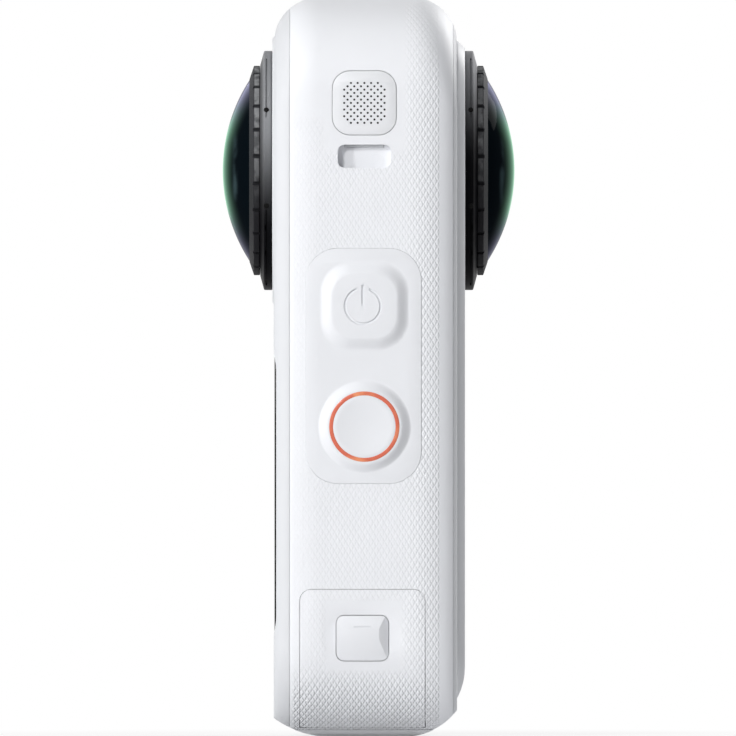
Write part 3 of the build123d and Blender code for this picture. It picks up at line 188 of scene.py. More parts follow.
class Tree:
    """One material's node tree, with a method that adds any node."""

    def __init__(self, name: str) -> None:
        """Starts an empty material of that name."""
        self.material = bpy.data.materials.new(name)
        self.material.use_nodes = True
        self.nodes = self.material.node_tree.nodes
        self.links = self.material.node_tree.links
        self.nodes.clear()

    def raw(self, kind: str, settings: dict | None = None, *values: object) -> bpy.types.Node:
        """Adds a node, sets its settings, then its first inputs in order; None leaves one as it is."""
        node = self.nodes.new(kind)
        for key, value in (settings or {}).items():
            setattr(node, key, value)
        for socket, value in zip([s for s in node.inputs if s.enabled], values):
            self.put(socket, value)
        return node

    def put(self, socket: bpy.types.NodeSocket, value: object) -> None:
        """Links or sets one input."""
        if value is None:
            return
        if isinstance(value, Wire):
            self.links.new(value.socket, socket)
        elif isinstance(value, (tuple, list)) and len(value) == 3 and socket.type == "RGBA":
            socket.default_value = (*value, 1.0)
        else:
            socket.default_value = value

    def add(self, kind: str, settings: dict | None = None, *values: object) -> Wire:
        """Adds a node as raw does and gives its first enabled output."""
        node = self.raw(kind, settings, *values)
        return Wire(self, next(s for s in node.outputs if s.enabled))

    def place(self) -> tuple[Wire, Wire, Wire]:
        """The object's own coordinates, in millimetres."""
        coordinates = self.raw("ShaderNodeTexCoord").outputs["Object"]
        node = self.raw("ShaderNodeSeparateXYZ", None, Wire(self, coordinates))
        return tuple(Wire(self, node.outputs[name]) / MM for name in "XYZ")

    def noise(self, size: float, detail: float = 2.0, stretch: Point3 = (1, 1, 1)) -> Wire:
        """Noise whose lumps are size millimetres across, 0 to 1."""
        coordinates = Wire(self, self.raw("ShaderNodeTexCoord").outputs["Object"])
        scaled = self.add("ShaderNodeVectorMath", {"operation": "MULTIPLY"}, coordinates, stretch)
        node = self.raw("ShaderNodeTexNoise")
        self.put(node.inputs["Vector"], scaled)
        node.inputs["Scale"].default_value = 1 / (size * MM)
        node.inputs["Detail"].default_value = detail
        return Wire(self, node.outputs["Factor" if "Factor" in node.outputs else "Fac"])

    def blend(self, factor: "Wire | float", first: object, second: object) -> Wire:
        """A colour between two colours."""
        node = self.nodes.new("ShaderNodeMix")
        node.data_type = "RGBA"
        self.put(node.inputs["Factor"], factor)
        self.put([s for s in node.inputs if s.name == "A" and s.type == "RGBA"][0], first)
        self.put([s for s in node.inputs if s.name == "B" and s.type == "RGBA"][0], second)
        return Wire(self, [s for s in node.outputs if s.type == "RGBA"][0])

    def bump(self, height: Wire, distance: float, strength: float = 1.0) -> Wire:
        """A normal from a height of 0 to 1 that stands for distance millimetres."""
        node = self.nodes.new("ShaderNodeBump")
        node.inputs["Strength"].default_value = strength
        node.inputs["Distance"].default_value = distance * MM
        self.put(node.inputs["Height"], height)
        return Wire(self, node.outputs["Normal"])

    def surface(self, **sockets: object) -> Wire:
        """A Principled shader; a socket's name is written with _ for a space."""
        node = self.nodes.new("ShaderNodeBsdfPrincipled")
        for name, value in sockets.items():
            self.put(node.inputs[name.replace("_", " ")], value)
        return Wire(self, node.outputs["BSDF"])

    def done(self, shader: Wire) -> bpy.types.Material:
        """Makes shader the surface and gives the material."""
        output = self.nodes.new("ShaderNodeOutputMaterial")
        self.put(output.inputs["Surface"], shader)
        return self.material


@dataclass(frozen=True)
class Moulded:
    """Smooth or finely grained moulded plastic.

    Attributes:
        name: the material's name.
        colour: linear base colour.
        rough: mean roughness.
        grain: height of the grain in millimetres.
        grain_size: size of the grain in millimetres.
        coat: clear coat weight.
        gloss: the specular level.
    """

    name: str
    colour: Point3
    rough: float = 0.42
    grain: float = 0.004
    grain_size: float = 0.35
    coat: float = 0.0
    gloss: float = 0.5

    def make(self) -> bpy.types.Material:
        """The material."""
        tree = Tree(self.name)
        cloud = tree.noise(9.0)
        fine = tree.noise(self.grain_size, 3.0)
        darker = tuple(c * 0.965 for c in self.colour)
        return tree.done(
            tree.surface(
                Base_Color=tree.blend(cloud, darker, self.colour),
                Roughness=self.rough + (fine - 0.5) * 0.12,
                Coat_Weight=self.coat,
                Specular_IOR_Level=self.gloss,
                Normal=tree.bump(fine, self.grain),
            )
        )


@dataclass(frozen=True)
class Knurled:
    """White moulded plastic with a fine diamond texture on the two narrow sides, and painted shade in its
    grooves.

    Attributes:
        name: the material's name.
        colour: linear base colour.
        spacing: distance between ridges of one family, in millimetres.
        slope: angle of each family's normal from level, in degrees.
        height: height of a diamond in millimetres.
        side_x: distance from the middle past which the sides are textured.
        corner_r: radius of the outline's corners, whose arc the texture follows.
        corner_x: distance of a corner's centre from the middle.
        corner_low: height of the lower corners' centres.
        corner_high: height of the upper corners' centres.
        low_y: rear end of the textured band.
        high_y: front end of the textured band.
        calm_z: height above which the texture leaves the middle of the side smooth.
        calm_y: front end of that smooth field.
        middle_y: middle of the side's pieces.
        dish_z: height of the middle of the door's smooth dish.
        dish_half_y: half the dish's width.
        dish_half_z: half the dish's height.
        has_dish: whether the texture leaves the dish out.
        shallow: the texture's depth on most of the side, as a share.
        edge_y: depth past which the front edge has the added depth.
        edge_high: height above which that edge loses it.
        edge_depth: the depth added at the front edge.
        rear_loss: the depth lost towards the rear edge.
        foot_high: height at which the texture starts to deepen towards the foot.
        foot_low: height at which it is deepest.
        foot_depth: the depth at the foot.
    """

    name: str
    colour: Point3
    spacing: float = 0.617
    slope: float = 30.6
    height: float = 0.085
    side_x: float = 12.4
    corner_r: float = 12.1
    corner_x: float = CORNER_X
    corner_low: float = CORNER_Z
    corner_high: float = 83.9
    low_y: float = -9.7
    high_y: float = 9.1
    calm_z: float = 80.4
    calm_y: float = 4.6
    middle_y: float = MIDDLE_Y
    dish_z: float = 13.2
    dish_half_y: float = 5.0
    dish_half_z: float = 4.6
    has_dish: bool = False
    shallow: float = 0.24
    edge_y: float = 7.6
    edge_high: float = 90.0
    edge_depth: float = 0.28
    rear_loss: float = 0.10
    foot_high: float = 12.0
    foot_low: float = 3.0
    foot_depth: float = 1.1

    def make(self) -> bpy.types.Material:
        """The material."""
        tree = Tree(self.name)
        x, y, z = tree.place()
        slope = math.radians(self.slope)
        out = (x.abs() - self.corner_x).most(0.001)
        below = (self.corner_low - z).most(0.0).angle(out)
        over = (z - self.corner_high).most(0.0).angle(out)
        run = z.most(self.corner_low).least(self.corner_high) + (over - below) * self.corner_r
        across = y * math.cos(slope)
        along = run * math.sin(slope)
        first = (across + along).wave(self.spacing)
        second = (across - along).wave(self.spacing)
        diamond = first.least(second).step(0.04, 0.62)
        side = x.abs().step(self.side_x, self.side_x + 1.2)
        band = y.step(self.low_y - 0.3, self.low_y) * y.step(self.high_y + 0.15, self.high_y - 0.15)
        above = z.step(self.calm_z - 1.2, self.calm_z + 1.2) * y.step(self.calm_y + 0.9, self.calm_y - 0.9)
        beside = z.step(75.0, 76.6) * (y - self.middle_y).abs().step(6.2, 4.8)
        mask = side * band * (1 - above.most(beside))
        front = y.step(self.edge_y - 4.2, self.edge_y) * z.step(self.edge_high, self.edge_high - 8.0)
        rear = y.step(self.low_y + 4.4, self.low_y + 1.2)
        foot = z.step(self.foot_high, self.foot_low)
        depth = (self.shallow + front * self.edge_depth - rear * self.rear_loss).most(foot * self.foot_depth)
        mask = mask * depth
        if self.has_dish:
            off_y = (y - self.middle_y).abs() / self.dish_half_y
            off_z = (z - self.dish_z).abs() / self.dish_half_z
            mask = mask * off_y.most(off_z).step(0.9, 1.1)
        cloud = tree.noise(11.0)
        fine = tree.noise(0.25, 2.0)
        darker = tuple(c * 0.97 for c in self.colour)
        plain = tree.blend(cloud, darker, self.colour)
        groove = (1 - diamond) * mask
        # Painted shade: the grooves between the diamonds are darkened in the base colour, as far as the
        # texture is deep.
        groove_painted_shade = tree.blend(groove * 0.14, plain, tuple(c * 0.55 for c in self.colour))
        return tree.done(
            tree.surface(
                Base_Color=groove_painted_shade,
                Roughness=0.5 + (fine - 0.5) * 0.1 - mask * 0.06,
                Specular_IOR_Level=0.3,
                Normal=tree.bump(diamond * mask + fine * 0.03, self.height),
            )
        )


@dataclass(frozen=True)
class Metal:
    """Turned, brushed or cast metal.

    Attributes:
        name: the material's name.
        colour: linear base colour.
        rough: mean roughness.
        metallic: how metallic it is.
        stretch: stretch of the grain along each axis.
        grain: height of the grain in millimetres.
    """

    name: str
    colour: Point3
    rough: float = 0.35
    metallic: float = 1.0
    stretch: Point3 = (1.0, 6.0, 1.0)
    grain: float = 0.003

    def make(self) -> bpy.types.Material:
        """The material."""
        tree = Tree(self.name)
        grain = tree.noise(0.6, 4.0, self.stretch)
        wide = tree.noise(5.0)
        darker = tuple(c * 0.8 for c in self.colour)
        return tree.done(
            tree.surface(
                Base_Color=tree.blend(wide * 0.6 + grain * 0.4, darker, self.colour),
                Metallic=self.metallic,
                Roughness=self.rough + (grain - 0.5) * 0.18,
                Normal=tree.bump(grain, self.grain),
            )
        )


@dataclass(frozen=True)
class GuardFinish:
    """The guard ring's grained dark finish, with paler patchy lands between its notches; painted light makes
    both paler above the lens axis and darker below it.

    Attributes:
        name: the material's name.
        lens_z: height of the lens axis.
        land_low: depth at which the lands start.
        land_high: depth at which they end.
        lands: how many there are.
    """

    name: str
    lens_z: float
    land_low: float = 14.1
    land_high: float = 14.9
    lands: int = 24

    def make(self) -> bpy.types.Material:
        """The material."""
        tree = Tree(self.name)
        x, y, z = tree.place()
        angle = (z - self.lens_z).angle(x)
        depth = y.abs()
        pitch = 2 * math.pi / self.lands
        land = (angle + pitch / 2).wave(pitch).step(0.10, 0.24)
        rim = depth.step(self.land_low, self.land_low + 0.12)
        rim = rim * depth.step(self.land_high, self.land_high - 0.12)
        patch = tree.noise(1.5, 3.0).step(0.36, 0.62)
        fine = tree.noise(0.22, 3.0)
        # Painted light and shade: the finish and the lands are paler above the lens axis and darker below it.
        lit = z.step(self.lens_z - 6.5, self.lens_z + 7.0)
        pale = land * rim * (0.3 + patch * 0.7) * lit
        painted_light_finish = tree.blend(lit, (0.018, 0.018, 0.02), (0.034, 0.035, 0.039))
        colour = tree.blend(pale, painted_light_finish, (0.27, 0.275, 0.28))
        colour = tree.blend(fine * 0.35, colour, (0.012, 0.012, 0.014))
        return tree.done(
            tree.surface(
                Base_Color=colour,
                Roughness=0.42 + fine * 0.2,
                Specular_IOR_Level=0.03,
                Normal=tree.bump(fine, 0.012),
            )
        )


@dataclass(frozen=True)
class BezelFinish:
    """The bezel's satin dark metal, paler at the top by painted light and darker towards its foot by painted
    shade.

    Attributes:
        name: the material's name.
        lens_z: height of the lens axis.
        upper: linear colour at the top, paler by painted light.
        low: height share of the bezel's radius below which the painted shade is deepest.
        high: height share above which the painted light is full.
        edge: how much painted shade darkens the taper at the guard's side.
        reach: the bezel's radius.
        lower: linear colour at the foot, in painted shade.
    """

    name: str
    lens_z: float
    upper: Point3
    low: float
    high: float
    edge: float = 0.0
    reach: float = 15.57
    lower: Point3 = (0.004, 0.004, 0.005)

    def make(self) -> bpy.types.Material:
        """The material."""
        tree = Tree(self.name)
        _, y, z = tree.place()
        # Painted light and shade: paler towards the top of the bezel, darker towards its foot.
        share = ((z - self.lens_z) / self.reach).step(self.low, self.high).power(2.0)
        brushed = tree.noise(0.5, 3.0, (1.0, 5.0, 1.0))
        # Painted shade at the bezel's seat on the cover and on the taper by the guard.
        foot = y.abs().step(12.95, 12.5)
        taper = y.abs().step(13.5, 14.0)
        painted_light_share = share * (0.9 + brushed * 0.2) * (1 - foot * 0.4) * (1 - taper * self.edge)
        colour = tree.blend(painted_light_share, self.lower, self.upper)
        return tree.done(
            tree.surface(
                Base_Color=colour,
                Roughness=0.42 + (brushed - 0.5) * 0.16,
                Specular_IOR_Level=0.02,
                Normal=tree.bump(brushed, 0.002),
            )
        )


@dataclass(frozen=True)
class CoatedGlass:
    """Coated fisheye glass: clear head on, black from the side, with the coating's reflection painted as a
    green rim that turns lavender above and below; painted light makes it stronger at the top and painted
    shade weaker at the bottom.

    Attributes:
        name: the material's name.
        lens_z: height of the lens axis.
        reach: the glass's radius.
        haze: how much of the glass is seen head on.
        tint: the coating's colour on reflections.
    """

    name: str
    lens_z: float
    reach: float
    haze: float = 0.10
    tint: Point3 = (0.55, 0.95, 0.75)

    def make(self) -> bpy.types.Material:
        """The material."""
        tree = Tree(self.name)
        x, _, z = tree.place()
        facing = Wire(tree, tree.raw("ShaderNodeLayerWeight", None, 0.5).outputs["Facing"])
        rise = (z - self.lens_z) / self.reach
        away = rise.abs()
        across = x / self.reach
        off = (rise * rise + across * across).power(0.5)
        cloud = tree.noise(4.0)
        upper = away.step(0.38, 0.82)
        # Painted reflection: the coating's rim colours go into base colour and emission.
        base = tree.blend(upper, (0.07, 0.15, 0.12), (0.12, 0.12, 0.17))
        coating = tree.blend(upper, (0.22, 0.46, 0.295), (0.185, 0.19, 0.28))
        # Painted light: the rim's painted reflection grows stronger above the axis.
        turned = facing + (rise - 0.3).most(0.0) * 0.12
        # The painted reflection is taken out along thin lines at the rim's top and bottom.
        outline = facing.step(0.86, 0.93) * away.step(0.4, 0.62)
        glow = ((turned - 0.62) / 0.30).most(0.0).power(2.3).least(1.0) * (1 - outline * 0.75)
        # Painted shade: the rim's painted reflection is weaker below the axis.
        glow = glow * (1 - rise.step(-0.3, -0.75) * 0.45)
        # Painted reflection: a faint, broken paler ring in the dark glass.
        painted_inner_reflection = (off - 0.7).abs().step(0.10, 0.0) * away.step(0.5, 0.15) * cloud.step(0.4, 0.7)
        colour = tree.blend(painted_inner_reflection, (0.002, 0.004, 0.006), (0.03, 0.05, 0.055))
        glass = tree.surface(
            Base_Color=tree.blend(glow, colour, base),
            Roughness=0.05,
            IOR=1.015,
            Specular_Tint=(*self.tint, 1.0),
            # This emission is painted reflection; the glass is no lamp.
            Emission_Color=tree.blend(glow, (0.0, 0.0, 0.0), coating),
            Emission_Strength=1.0,
        )
        clear = tree.add("ShaderNodeBsdfTransparent")
        factor = self.haze + facing.step(0.2, 0.4) * (1 - self.haze)
        node = tree.raw("ShaderNodeMixShader", None, factor, clear, glass)
        return tree.done(Wire(tree, node.outputs[0]))


@dataclass(frozen=True)
class Inlay:
    """The shutter's orange ring: a glossy light guide with an uneven inner glow.

    Attributes:
        name: the material's name.
        colour: linear base colour.
        glow: strength of its own light.
    """

    name: str
    colour: Point3 = (0.62, 0.115, 0.055)
    glow: float = 0.02

    def make(self) -> bpy.types.Material:
        """The material."""
        tree = Tree(self.name)
        cloud = tree.noise(2.6, 2.0)
        paler = (0.80, 0.30, 0.12)
        colour = tree.blend(cloud.step(0.45, 0.75), self.colour, paler)
        return tree.done(
            tree.surface(
                Base_Color=colour,
                Roughness=0.28 + cloud * 0.1,
                Coat_Weight=0.5,
                Emission_Color=colour,
                Emission_Strength=self.glow,
            )
        )


@dataclass(frozen=True)
class Screen:
    """Black display glass, with the panel's slightly paler field behind it.

    Attributes:
        name: the material's name.
        half_x: half the panel's width.
        low_z: foot of the panel.
        high_z: top of the panel.
    """

    name: str
    half_x: float
    low_z: float
    high_z: float

    def make(self) -> bpy.types.Material:
        """The material."""
        tree = Tree(self.name)
        x, _, z = tree.place()
        field_x = x.abs().step(self.half_x + 0.05, self.half_x - 0.05)
        field_z = z.step(self.low_z - 0.05, self.low_z + 0.05)
        field_z = field_z * z.step(self.high_z + 0.05, self.high_z - 0.05)
        smear = tree.noise(14.0, 3.0)
        colour = tree.blend(field_x * field_z, (0.004, 0.004, 0.005), (0.016, 0.018, 0.022))
        return tree.done(
            tree.surface(
                Base_Color=colour, Roughness=0.07 + smear * 0.08, Specular_IOR_Level=0.2
            )
        )


class Bench:
    """Modelling by hand: every method adds or shapes one mesh in millimetres."""

    @staticmethod
    def free() -> None:
        """Leaves edit mode and deselects every object."""
        if bpy.context.object and bpy.context.object.mode != "OBJECT":
            bpy.ops.object.mode_set(mode="OBJECT")
        bpy.ops.object.select_all(action="DESELECT")

    @staticmethod
    def pick(obj: bpy.types.Object) -> None:
        """Makes obj the only selected and the active object."""
        Bench.free()
        obj.select_set(True)
        bpy.context.view_layer.objects.active = obj

    @staticmethod
    def edit(obj: bpy.types.Object) -> bmesh.types.BMesh:
        """Enters edit mode on obj with nothing selected and gives its mesh."""
        Bench.pick(obj)
        bpy.ops.object.mode_set(mode="EDIT")
        bpy.ops.mesh.select_mode(type="VERT")
        bpy.ops.mesh.select_all(action="DESELECT")
        return bmesh.from_edit_mesh(obj.data)

    @staticmethod
    def choose(obj: bpy.types.Object, parts: str, test: Callable[[object], bool]) -> int:
        """In edit mode, selects the verts, edges or faces that pass a test, and nothing else.

        Args:
            obj: the object in edit mode.
            parts: verts, edges or faces.
            test: takes one element.

        Returns:
            How many were selected.
        """
        kind = {"verts": "VERT", "edges": "EDGE", "faces": "FACE"}[parts]
        bpy.ops.mesh.select_mode(type=kind)
        bpy.ops.mesh.select_all(action="DESELECT")
        mesh = bmesh.from_edit_mesh(obj.data)
        count = 0
        for element in getattr(mesh, parts):
            if test(element):
                element.select_set(True)
                count += 1
        mesh.select_flush_mode()
        bmesh.update_edit_mesh(obj.data)
        return count

    @staticmethod
    def level(axis: int, at: float) -> Callable[[object], bool]:
        """Gives a test for edges that lie in the plane square to X (0), Y (1) or Z (2) at that place."""
        return lambda e: all(abs(v.co[axis] - at) < 1e-4 for v in e.verts)

    @staticmethod
    def sharp(edge: bmesh.types.BMEdge) -> bool:
        """Tests whether two faces meet at an edge by more than a radian."""
        return edge.is_manifold and edge.calc_face_angle(0) > 1.0

    @staticmethod
    def bevel(obj: bpy.types.Object, test: Callable[[object], bool], width: float, steps: int) -> None:
        """Rounds the edges that pass a test."""
        Bench.edit(obj)
        if Bench.choose(obj, "edges", test):
            bpy.ops.mesh.bevel(offset=width, segments=steps, affect="EDGES", clamp_overlap=True)
        Bench.free()

    @staticmethod
    def block(name: str, low: Point3, high: Point3) -> bpy.types.Object:
        """A cube primitive between two corners."""
        Bench.free()
        middle = [(a + b) / 2 for a, b in zip(low, high)]
        bpy.ops.mesh.primitive_cube_add(size=1, location=middle)
        obj = bpy.context.object
        obj.name = name
        obj.scale = [b - a for a, b in zip(low, high)]
        bpy.ops.object.transform_apply(location=True, rotation=True, scale=True)
        return obj

    @staticmethod
    def prism(
        name: str, axis: Axis, centre: Point, size: Point, radius: float, span: Point, steps: int = 10
    ) -> bpy.types.Object:
        """A rounded bar along X (centred on Y, Z) or along Y (centred on X, Z)."""
        (a, b), (w, h) = centre, size
        low = [a - w / 2, b - h / 2]
        high = [a + w / 2, b + h / 2]
        if axis is Axis.X:
            corners = ((span[0], low[0], low[1]), (span[1], high[0], high[1]))
        else:
            corners = ((low[0], span[0], low[1]), (high[0], span[1], high[1]))
        obj = Bench.block(name, *corners)
        index = axis.value
        if radius:
            Bench.bevel(obj, lambda e: abs(e.verts[0].co[index] - e.verts[1].co[index]) > 1e-5, radius, steps)
        return obj

    @staticmethod
    def cylinder(
        name: str, axis: Axis, centre: Point3, radius: float, length: float, sides: int
    ) -> bpy.types.Object:
        """A cylinder primitive about X or Y through its centre."""
        Bench.free()
        turn = (0, math.pi / 2, 0) if axis is Axis.X else (math.pi / 2, 0, 0)
        bpy.ops.mesh.primitive_cylinder_add(
            vertices=sides, radius=radius, depth=length, location=centre, rotation=turn
        )
        obj = bpy.context.object
        obj.name = name
        bpy.ops.object.transform_apply(location=True, rotation=True, scale=True)
        return obj

    @staticmethod
    def drawn(name: str, points: Sequence[Point3], close: bool) -> bpy.types.Object:
        """A line drawn point by point by extruding a vertex; close fills it with one face."""
        Bench.free()
        bpy.ops.mesh.primitive_plane_add(size=1, location=(0, 0, 0))
        obj = bpy.context.object
        obj.name = name
        bpy.ops.object.mode_set(mode="EDIT")
        bpy.ops.mesh.select_mode(type="VERT")
        bpy.ops.mesh.select_all(action="SELECT")
        bpy.ops.mesh.merge(type="CENTER")
        bpy.ops.transform.translate(value=points[0])
        for before, after in zip(points, points[1:]):
            move = tuple(b - a for a, b in zip(before, after))
            bpy.ops.mesh.extrude_region_move(TRANSFORM_OT_translate={"value": move})
        bpy.ops.mesh.select_all(action="SELECT")
        if close:
            bpy.ops.mesh.edge_face_add()
        return obj

    @staticmethod
    def extruded(name: str, axis: Axis, points: Sequence[Point], low: float, high: float) -> bpy.types.Object:
        """A bar along X with a drawn section of (y, z) points, or along Y with one of (x, z) points."""
        if axis is Axis.X:
            line = [(low, y, z) for y, z in points]
            move = (high - low, 0, 0)
        else:
            line = [(x, low, z) for x, z in points]
            move = (0, high - low, 0)
        obj = Bench.drawn(name, line, True)
        bpy.ops.mesh.extrude_region_move(TRANSFORM_OT_translate={"value": move})
        bpy.ops.mesh.select_all(action="SELECT")
        bpy.ops.mesh.normals_make_consistent(inside=False)
        Bench.free()
        return obj

    @staticmethod
    def turned(
        name: str, axis: Axis, centre: Point3, profile: Sequence[Point], closed: bool, sides: int = 128
    ) -> bpy.types.Object:
        """A piece spun about X or Y through centre from (radius, depth) points; closed gives a ring."""
        points = list(profile) + ([profile[0]] if closed else [])
        if axis is Axis.X:
            line = [(centre[0] + d, centre[1], centre[2] + r) for r, d in points]
            direction = (1, 0, 0)
        else:
            line = [(centre[0] + r, centre[1] + d, centre[2]) for r, d in points]
            direction = (0, 1, 0)
        obj = Bench.drawn(name, line, False)
        bpy.ops.mesh.spin(steps=sides, angle=2 * math.pi, center=centre, axis=direction)
        bpy.ops.mesh.select_all(action="SELECT")
        bpy.ops.mesh.remove_doubles(threshold=1e-4)
        bpy.ops.mesh.normals_make_consistent(inside=False)
        Bench.free()
        return obj

    @staticmethod
    def combine(obj: bpy.types.Object, tool: bpy.types.Object, operation: str) -> bpy.types.Object:
        """Cuts, joins or intersects obj with tool by a Boolean modifier, which is applied."""
        Bench.pick(obj)
        modifier = obj.modifiers.new("cut", "BOOLEAN")
        modifier.operation = operation
        modifier.solver = "EXACT"
        modifier.object = tool
        bpy.ops.object.modifier_apply(modifier=modifier.name)
        bpy.data.objects.remove(tool, do_unlink=True)
        return obj

    @staticmethod
    def cut(obj: bpy.types.Object, *tools: bpy.types.Object) -> bpy.types.Object:
        """Cuts each tool out of obj."""
        for tool in tools:
            Bench.combine(obj, tool, "DIFFERENCE")
        return obj

    @staticmethod
    def copy(obj: bpy.types.Object, name: str) -> bpy.types.Object:
        """A copy of obj with a mesh of its own."""
        other = obj.copy()
        other.data = obj.data.copy()
        other.name = name
        bpy.context.collection.objects.link(other)
        return other

    @staticmethod
    def halve(obj: bpy.types.Object, at: Point3, normal: Point3) -> bpy.types.Object:
        """Keeps what lies on the far side of a plane and closes the cut."""
        Bench.edit(obj)
        bpy.ops.mesh.select_all(action="SELECT")
        bpy.ops.mesh.bisect(plane_co=at, plane_no=normal, use_fill=True, clear_inner=True)
        Bench.free()
        return obj

    @staticmethod
    def join(pieces: Sequence[bpy.types.Object]) -> bpy.types.Object:
        """One object from several."""
        Bench.pick(pieces[0])
        for piece in pieces:
            piece.select_set(True)
        bpy.ops.object.join()
        return bpy.context.object

    @staticmethod
    def mirrored(obj: bpy.types.Object) -> bpy.types.Object:
        """obj turned over to the other side of the X-Z plane."""
        Bench.edit(obj)
        bpy.ops.mesh.select_all(action="SELECT")
        bpy.ops.transform.resize(value=(1, -1, 1), center_override=(0, 0, 0))
        bpy.ops.mesh.normals_make_consistent(inside=False)
        Bench.free()
        return obj


@dataclass
class Finishes:
    """Every material of the camera, made once.

    Attributes:
        made: the materials by name.
    """

    made: dict[str, bpy.types.Material] = field(default_factory=dict)

    def take(self, finish: object) -> bpy.types.Material:
        """The material of a finish, made when it is first asked for."""
        if finish.name not in self.made:
            self.made[finish.name] = finish.make()
        return self.made[finish.name]


WHITE = (0.81, 0.82, 0.845)
FINISHES = Finishes()
KNURLED = Knurled("textured_white", WHITE)
KNURLED_DOOR = Knurled("textured_white_door", WHITE, has_dish=True)
# Both cover whites are the frame's white darkened: painted shade on the covers.
COVER_WHITE = Moulded("cover_white", (0.735, 0.745, 0.765), rough=0.45, grain=0.0015, gloss=0.2)
REAR_WHITE = Moulded("rear_cover_white", (0.67, 0.68, 0.70), rough=0.45, grain=0.0015, gloss=0.2)
PAD_WHITE = Moulded("pad_white", (0.78, 0.79, 0.815), rough=0.5, grain=0.003, grain_size=0.2, gloss=0.3)
GRILLE_WHITE = Moulded("grille_white", (0.76, 0.77, 0.79), rough=0.45, grain=0.002, gloss=0.3)
BASE_GREY = Moulded("base_grey", (0.76, 0.77, 0.79), rough=0.45, gloss=0.3)
INNER_GREY = Moulded("inner_grey", (0.05, 0.052, 0.056), rough=0.5)
BARREL_BLACK = Moulded("barrel_black", (0.012, 0.012, 0.014), rough=0.45, grain=0.01)
SEAL_BLACK = Moulded("seal_black", (0.02, 0.02, 0.022), rough=0.7)
BOARD_GREEN = Moulded("board_green", (0.02, 0.10, 0.05), rough=0.35, coat=0.3)
CELL_BLACK = Moulded("cell_black", (0.025, 0.025, 0.028), rough=0.55, grain=0.01)
# Both bezels carry painted light at the top and painted shade at the foot, set apart for each lens.
BEZELS = {
    "front": BezelFinish("front_bezel_metal", LENS_Z, (0.30, 0.303, 0.315), -0.1, 0.95),
    "rear": BezelFinish("rear_bezel_metal", LENS_Z, (0.24, 0.245, 0.255), -0.7, 0.5, 0.6),
}
DOT_BLACK = Moulded("dot_black", (0.003, 0.003, 0.003), rough=0.6, gloss=0.1)
MESH_WHITE = Moulded("mesh_white", (0.74, 0.75, 0.77), rough=0.6, grain=0.02, grain_size=0.12, gloss=0.2)
STEEL = Metal("steel", (0.62, 0.62, 0.64), rough=0.3)
ALLOY = Metal("cast_alloy", (0.5, 0.51, 0.53), rough=0.5, grain=0.02)
BRASS = Metal("insert_brass", (0.72, 0.52, 0.24), rough=0.3)
COPPER = Metal("copper_sheet", (0.75, 0.42, 0.27), rough=0.35)
GUARD = GuardFinish("guard_grained", LENS_Z)
DOME = CoatedGlass("coated_dome", LENS_Z, 11.8)
INNER_LENS = CoatedGlass("inner_lens", LENS_Z, 9.9, haze=0.45, tint=(0.75, 0.6, 0.95))
ORANGE = Inlay("orange_ring")


def finish(
    obj: bpy.types.Object,
    look: object,
    body: Body | None,
    nodes: Iterable[str] = (),
    slot: str | None = None,
    smooth: float = 32.0,
) -> bpy.types.Object:
    """Brings a piece to metres, smooths and dresses it, hangs it on its body, and hides the CAD nodes it
    stands for.

    Args:
        obj: the piece, in millimetres.
        look: its finish.
        body: the body it rides on, or None to leave it on no body.
        nodes: the CAD nodes it replaces.
        slot: not used.
        smooth: the angle under which edges are shaded smooth, in degrees.

    Returns:
        The finished piece.
    """
    Bench.pick(obj)
    obj.data.transform(Matrix.Scale(MM, 4))
    bpy.ops.object.shade_smooth_by_angle(angle=math.radians(smooth))
    obj.data.materials.clear()
    obj.data.materials.append(FINISHES.take(look))
    if nodes:
        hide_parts(*nodes)
    if body:
        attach(obj, body.value)
    LOG.info("%s: %d faces", obj.name, len(obj.data.polygons))
    return obj


